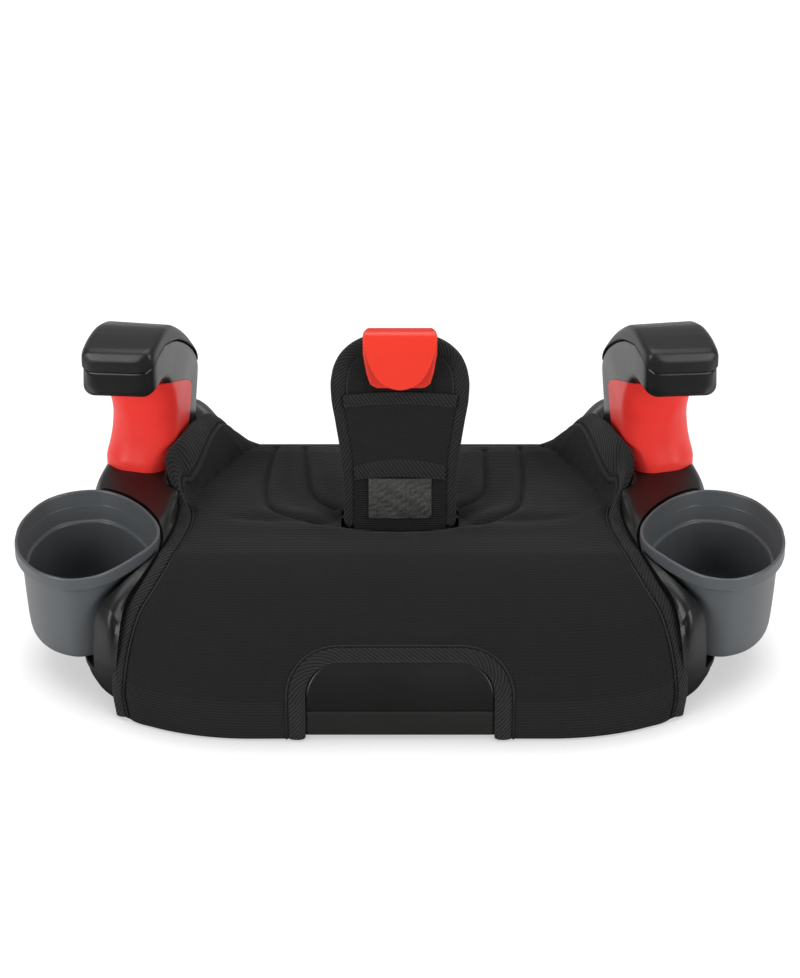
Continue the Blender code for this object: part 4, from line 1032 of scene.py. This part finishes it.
def tether_sheet(name, x, up, back, front, finish):
    """Closed skin between two faces of the tether, each given by its distance out."""
    return sheet(name, tether(x, up, back), tether(x, up, front), finish, flat_uv(x, up))


TETHER_FACE = np.array([0.0, -math.cos(TETHER_LEAN), math.sin(TETHER_LEAN)])


def build_tether_pad():
    """Lollipop-shaped cushion with its bound edge, stitches and inner cord."""
    up = np.concatenate([np.linspace(-3, 120, 90)[:-1], 140 - 20 * (1 - np.linspace(0, 1, 40)) ** 2])
    half = np.maximum(curve(PAD_SHAPE, up), 0.5)
    u, w = np.meshgrid(up, np.linspace(-1, 1, 81), indexing="ij")
    x = half[:, None] * np.sin(w * math.pi / 2)
    edge = np.minimum(half[:, None] - np.abs(x), 141 - u)
    round_ = np.sqrt(np.clip(edge / 4.0, 0, 1))
    groove = np.exp(-((edge - 10) / 1.1) ** 2)
    puff = 0.9 * ease((edge - 10) / 14)
    front = 3.4 - (3.0 + puff) * round_ + 0.8 * groove
    back = 3.4 + (3.2 + 0.4 * puff) * round_
    pad = tether_sheet("tether_cushion", x, u, back, front, "knit_fine")
    place(pad, "tether", "knit_fabric", "tether_pad")
    line = [(-h, a) for a, h in zip(up, half)] + [(h, a) for a, h in zip(up[::-1], half[::-1])]
    flat = smooth_path(line[::2], 1.5, rounds=2)
    path = tether(flat[:, 0], flat[:, 1], np.full(len(flat), 1.2))
    normal = np.repeat(TETHER_FACE[None], len(path), 0)
    section = [(1.0 - a * 1.02, b * 1.25 + 0.6) for a, b in fine_section(TAPE)]
    place(sweep("tether_tape", path, normal, section, "twill"), "tether", "knit_fabric")
    side = unit(np.cross(np.gradient(path, axis=0), normal))
    place(stitches("tether_stitches", path + side * 8.9 + normal * 1.35, normal), "tether", "knit_fabric")
    cord = sweep("tether_cord", path, normal, cord_section(11.6, 0.3, 0.8), "thread")
    place(cord, "tether", "knit_fabric")


def build_sleeve():
    """Knit sleeve over the strap, with a straight hem above and an arched hem below."""
    low, high = 37.0, 98.5
    share = np.linspace(-1, 1, 61)
    rows = np.linspace(0, 1, 60)
    t, w = np.meshgrid(rows, share, indexing="ij")
    arch = 5.5 * (1 - w ** 2)
    foot, head = low - 3.5 + 0.6 * arch, high - 3.5 * w ** 2
    up = foot + (head - foot) * t
    half = curve(PAD_SHAPE, up) - 8.6
    x = half * w
    hem = np.maximum(1 - ease((up - foot - 9.5) / 1.2), 1 - ease((head - up - 9.0) / 1.2))
    stitch = np.exp(-((up - foot - 8.6) / 0.8) ** 2) + np.exp(-((head - up - 8.2) / 0.8) ** 2)
    bulge = 3.4 * (1 - np.abs(w) ** 3)
    fold = 0.35 * soft_noise(x, up, 11, 26) * (1 - np.abs(w) ** 2)
    front = -1.7 - bulge - 0.7 * hem + 0.55 * stitch - fold
    body = tether_sheet("tether_sleeve_knit", x, up, front + 1.5, front, "knit_fine")
    place(body, "tether", "knit_fabric", "tether_sleeve")
    for name, a, b in (("sleeve_hem_low", 0.0, 9.5), ("sleeve_hem_high", -8.6, 0.0)):
        t, w = np.meshgrid(np.linspace(0, 1, 14), share * 0.995, indexing="ij")
        arch = 5.5 * (1 - w ** 2)
        base = (low - 3.5 + 0.6 * arch) if a == 0.0 else (high - 3.5 * w ** 2)
        up = base + a + (b - a + (0.55 * arch if a == 0.0 else 0)) * t
        x = (curve(PAD_SHAPE, up) - 8.4) * w
        rise = 0.9 * np.sqrt(np.clip(1 - (2 * t - 1) ** 4, 0, 1))
        front = -1.9 - 3.4 * (1 - np.abs(w) ** 3) - 0.7 - rise
        piece = tether_sheet(name, x, up, front + 1.6 + rise, front, "twill")
        place(piece, "tether", "knit_fabric")


def build_strap():
    """Ribbed webbing from the well up to the clip, and the vinyl patch on it."""
    up = np.linspace(-20, 118, 120)
    half = np.interp(up, [-30, 30, 60, 90, 118], [33, 33, 30, 23.5, 22.5])
    u, w = np.meshgrid(up, np.linspace(-1, 1, 41), indexing="ij")
    x = half[:, None] * w
    bow = 0.8 * (1 - w ** 2)
    edge = 0.6 * np.clip((np.abs(w) - 0.95) / 0.05, 0, 1)
    strap = tether_sheet("strap", x, u, STRAP_BACK - edge, STRAP_FRONT - bow * 0.4 + edge, "web")
    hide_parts("tether_strap")
    start, end = tether(0, -14.0, 0) * MM, tether(0, 4.0, 0) * MM
    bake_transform(strap)
    u, w = np.meshgrid(np.linspace(5.5, 35, 60), np.linspace(-1, 1, 60), indexing="ij")
    x = 22.5 * w
    crush = 0.45 * soft_noise(x, u, 21, 16) + 0.2 * soft_noise(x, u, 22, 6)
    front = STRAP_FRONT - 1.1 - 0.8 * (1 - w ** 2) - crush
    patch = tether_sheet("patch", x, u, front + 1.4 + crush, front, "vinyl")
    place(patch, "tether", "patch_vinyl", "grip_patch")


FLAP_SIDE = [
    (0, 2.0), (1.0, 6.5), (2.6, 10.4), (4.5, 13.2), (8, 16.6), (12, 19.2), (17, 21.7), (23, 23.8),
    (31, 25.6), (40, 26.5),
]


def build_clip():
    """Red belt clip: back plate, fold over the top and bevelled front flap, swept as one strip."""
    back, t = CLIP_BACK, CLIP_WALL
    face = back - CLIP_MOUTH - 2 * t
    rear, front, top = back - t / 2, face + t / 2, CLIP_TOP - t / 2
    line = [
        (rear, 101.5), (rear, 132), (rear, 141), (rear - 2.5, top), (back - 6.5, top), (face + 7.5, top),
        (front + 1.4, 141.5), (front, 134), (front, 120), (front, FLAP_FOOT),
    ]
    line = smooth_path(line, 0.9)
    turn = next(i for i, p in enumerate(line) if p[0] < (back + face) / 2)
    rings = []
    for i, ((out, up), (dx, dy)) in enumerate(zip(line, unit(np.gradient(line, axis=0)))):
        corner = max(0.0, up - (top - 6.0)) / 6.0
        half = CLIP_HALF - 5.0 * (1 - math.sqrt(max(0.0, 1 - min(1.0, corner) ** 2)))
        if i < turn:
            wing = float(np.interp(up, [101.5, 104, 112, 126], [17.5, 21.5, CLIP_HALF - 2.5, CLIP_HALF]))
            half, bevel = min(half, wing), 0.8
        else:
            half = max(0.5, min(half, float(curve(FLAP_SIDE, up - FLAP_FOOT))))
            bevel = min(3.4, half * 0.7)
        a, b = -dy, dx  # outward in the (out, up) plane, away from the mouth
        outer, inner = t / 2, -t / 2
        edge = [(-half + 0.5, inner), (-half, inner + 0.8), (-half + 0.1, 0.1),
                (-half + bevel * 0.35, outer * 0.45), (-half + bevel, outer * 0.92)]
        flat = np.linspace(-half + bevel * 1.3, half - bevel * 1.3, 25)
        profile = edge + [(x, outer * (1 + 0.25 * (1 - (x / half) ** 2))) for x in flat]
        profile += [(-x, y) for x, y in reversed(edge)]
        profile += [(x, inner) for x in np.linspace(half - 0.6, -half + 0.6, 25)]
        p = np.array(profile)
        rings.append(tether(p[:, 0], up + p[:, 1] * b, out + p[:, 1] * a))
    clip = loft("clip_moulding", rings, "clip")
    place(clip, "tether", "red_plastic", "belt_clip")


# ---------------------------------------------------------------- assembly and studio

def dress_cad_nodes():
    """Finishes for the CAD nodes that stay in view."""
    finish = {"lower_shell": "tray", "seat_foam": "foam", "anchor_bar": "steel", "anchor_webbing": "web"}
    for name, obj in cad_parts.items():
        kind = finish.get(name)
        if name.startswith(("base_screw", "post_screw", "clip_rivet")):
            kind = "steel"
        if name.startswith("rubber_foot"):
            kind = "rubber"
        if kind:
            obj.data.materials.clear()
            obj.data.materials.append(materials[kind])


LENS_MM, CAMERA_M, CAMERA_TILT = 136.86, (0.0, -2.227, 1.600), math.radians(56.0)
# name, place and aim in metres, size in metres, watts
LIGHTS = [
    ("left_box", (-1.45, -1.35, 0.95), (0, 0, 0.12), (0.8, 1.3), 25),
    ("right_box", (1.45, -1.25, 0.95), (0, 0, 0.12), (0.8, 1.3), 21),
    ("top_box", (0.0, 0.15, 2.0), (0, 0, 0), (1.9, 1.3), 21),
]


def area_light(name, place_m, aim_m, size, power):
    light = bpy.data.lights.new(name, "AREA")
    light.shape, light.size, light.size_y = "RECTANGLE", size[0], size[1]
    light.energy = power
    obj = bpy.data.objects.new(name, light)
    obj.location = place_m
    obj.rotation_euler = (Vector(aim_m) - Vector(place_m)).to_track_quat("-Z", "Y").to_euler()
    bpy.context.scene.collection.objects.link(obj)


def build_studio():
    """White sweep that glows, with a painted contact shadow and painted reflections, a bright backdrop
    behind, darkness on the camera's side, and three soft boxes.
    """
    n = Nodes("floor_paper")
    spot = n.node("ShaderNodeNewGeometry").outputs["Position"]
    x, y, _ = n.node("ShaderNodeSeparateXYZ", {0: spot}).outputs
    length = n.node("ShaderNodeVectorMath", {0: spot}, operation="LENGTH")
    far = n.smooth(length.outputs["Value"], 0.30, 1.1)
    # Painted reflections: to glossy rays the floor is dark, save bright patches beside the seat and behind
    # it, which put highlights on the seat's upright faces.
    beside = n.math("MULTIPLY", n.smooth(n.math("ABSOLUTE", x), 0.22, 0.31), n.smooth(y, -0.32, -0.14))
    lit = n.math("MAXIMUM", n.smooth(y, 0.05, 0.25), beside)
    seen = n.node("ShaderNodeLightPath").outputs["Is Glossy Ray"]
    share = n.math("SUBTRACT", 1.0, n.math("MULTIPLY", seen, n.spread(lit, 0.9, 0.0)))
    direct = n.node("ShaderNodeLightPath").outputs["Is Camera Ray"]
    # Painted contact shadow: for camera rays the floor's glow is dimmed where ambient occlusion finds the
    # seat close by.
    occlusion = n.node("ShaderNodeAmbientOcclusion", {"Distance": 0.055}, samples=8)
    open_ = n.smooth(occlusion.outputs["AO"], 0.30, 0.97)
    paper = n.math("MULTIPLY", share, n.spread(direct, 1.0, 0.20))
    n.colour((0, 0, 0), (0.93, 0.93, 0.93), paper)
    glow = n.math("MULTIPLY", direct, n.math("MULTIPLY_ADD", open_, 0.45, n.spread(far, 0.42, 0.85)))
    # Painted glow: the floor glows for every ray, more so away from the seat, and lights the seat from below
    # though it is no lamp.
    n.set(Roughness=0.9, Specular_IOR_Level=0.02, Emission_Color=(1, 1, 1, 1),
          Emission_Strength=n.math("MULTIPLY_ADD", share, n.spread(far, 0.10, 0.5), glow))
    size = 6000.0
    corners = [(-size, -size, 0), (size, -size, 0), (size, size, 0), (-size, size, 0)]
    materials["paper"] = n.mat
    mesh_object("floor", corners, [(0, 1, 2, 3)], "paper")
    world = bpy.data.worlds.new("studio")
    world.use_nodes = True
    tree = world.node_tree
    background = tree.nodes["Background"]
    background.inputs[0].default_value = (1, 1, 1, 1)
    way = tree.nodes.new("ShaderNodeSeparateXYZ")
    tree.links.new(tree.nodes.new("ShaderNodeTexCoord").outputs["Generated"], way.inputs[0])
    back = tree.nodes.new("ShaderNodeMapRange")
    back.interpolation_type = "SMOOTHSTEP"
    for socket, value in ((1, -0.2), (2, 0.8), (3, 0.012), (4, 0.42)):
        back.inputs[socket].default_value = value
    tree.links.new(way.outputs[1], back.inputs[0])
    tree.links.new(back.outputs[0], background.inputs[1])
    bpy.context.scene.world = world
    for light in LIGHTS:
        area_light(*light)
    camera = bpy.data.cameras.new("camera")
    camera.sensor_fit, camera.sensor_height, camera.lens = "VERTICAL", 36.0, LENS_MM
    obj = bpy.data.objects.new("camera", camera)
    obj.location = CAMERA_M
    obj.rotation_euler = Euler((CAMERA_TILT, 0, 0))
    bpy.context.scene.collection.objects.link(obj)
    bpy.context.scene.camera = obj
    bpy.context.scene.view_settings.view_transform = "Standard"


build_cover()
build_edge_tape()
build_cutout_tape()
build_shell()
build_cups()
build_arms()
build_tether_pad()
build_sleeve()
build_strap()
build_clip()
dress_cad_nodes()
build_studio()
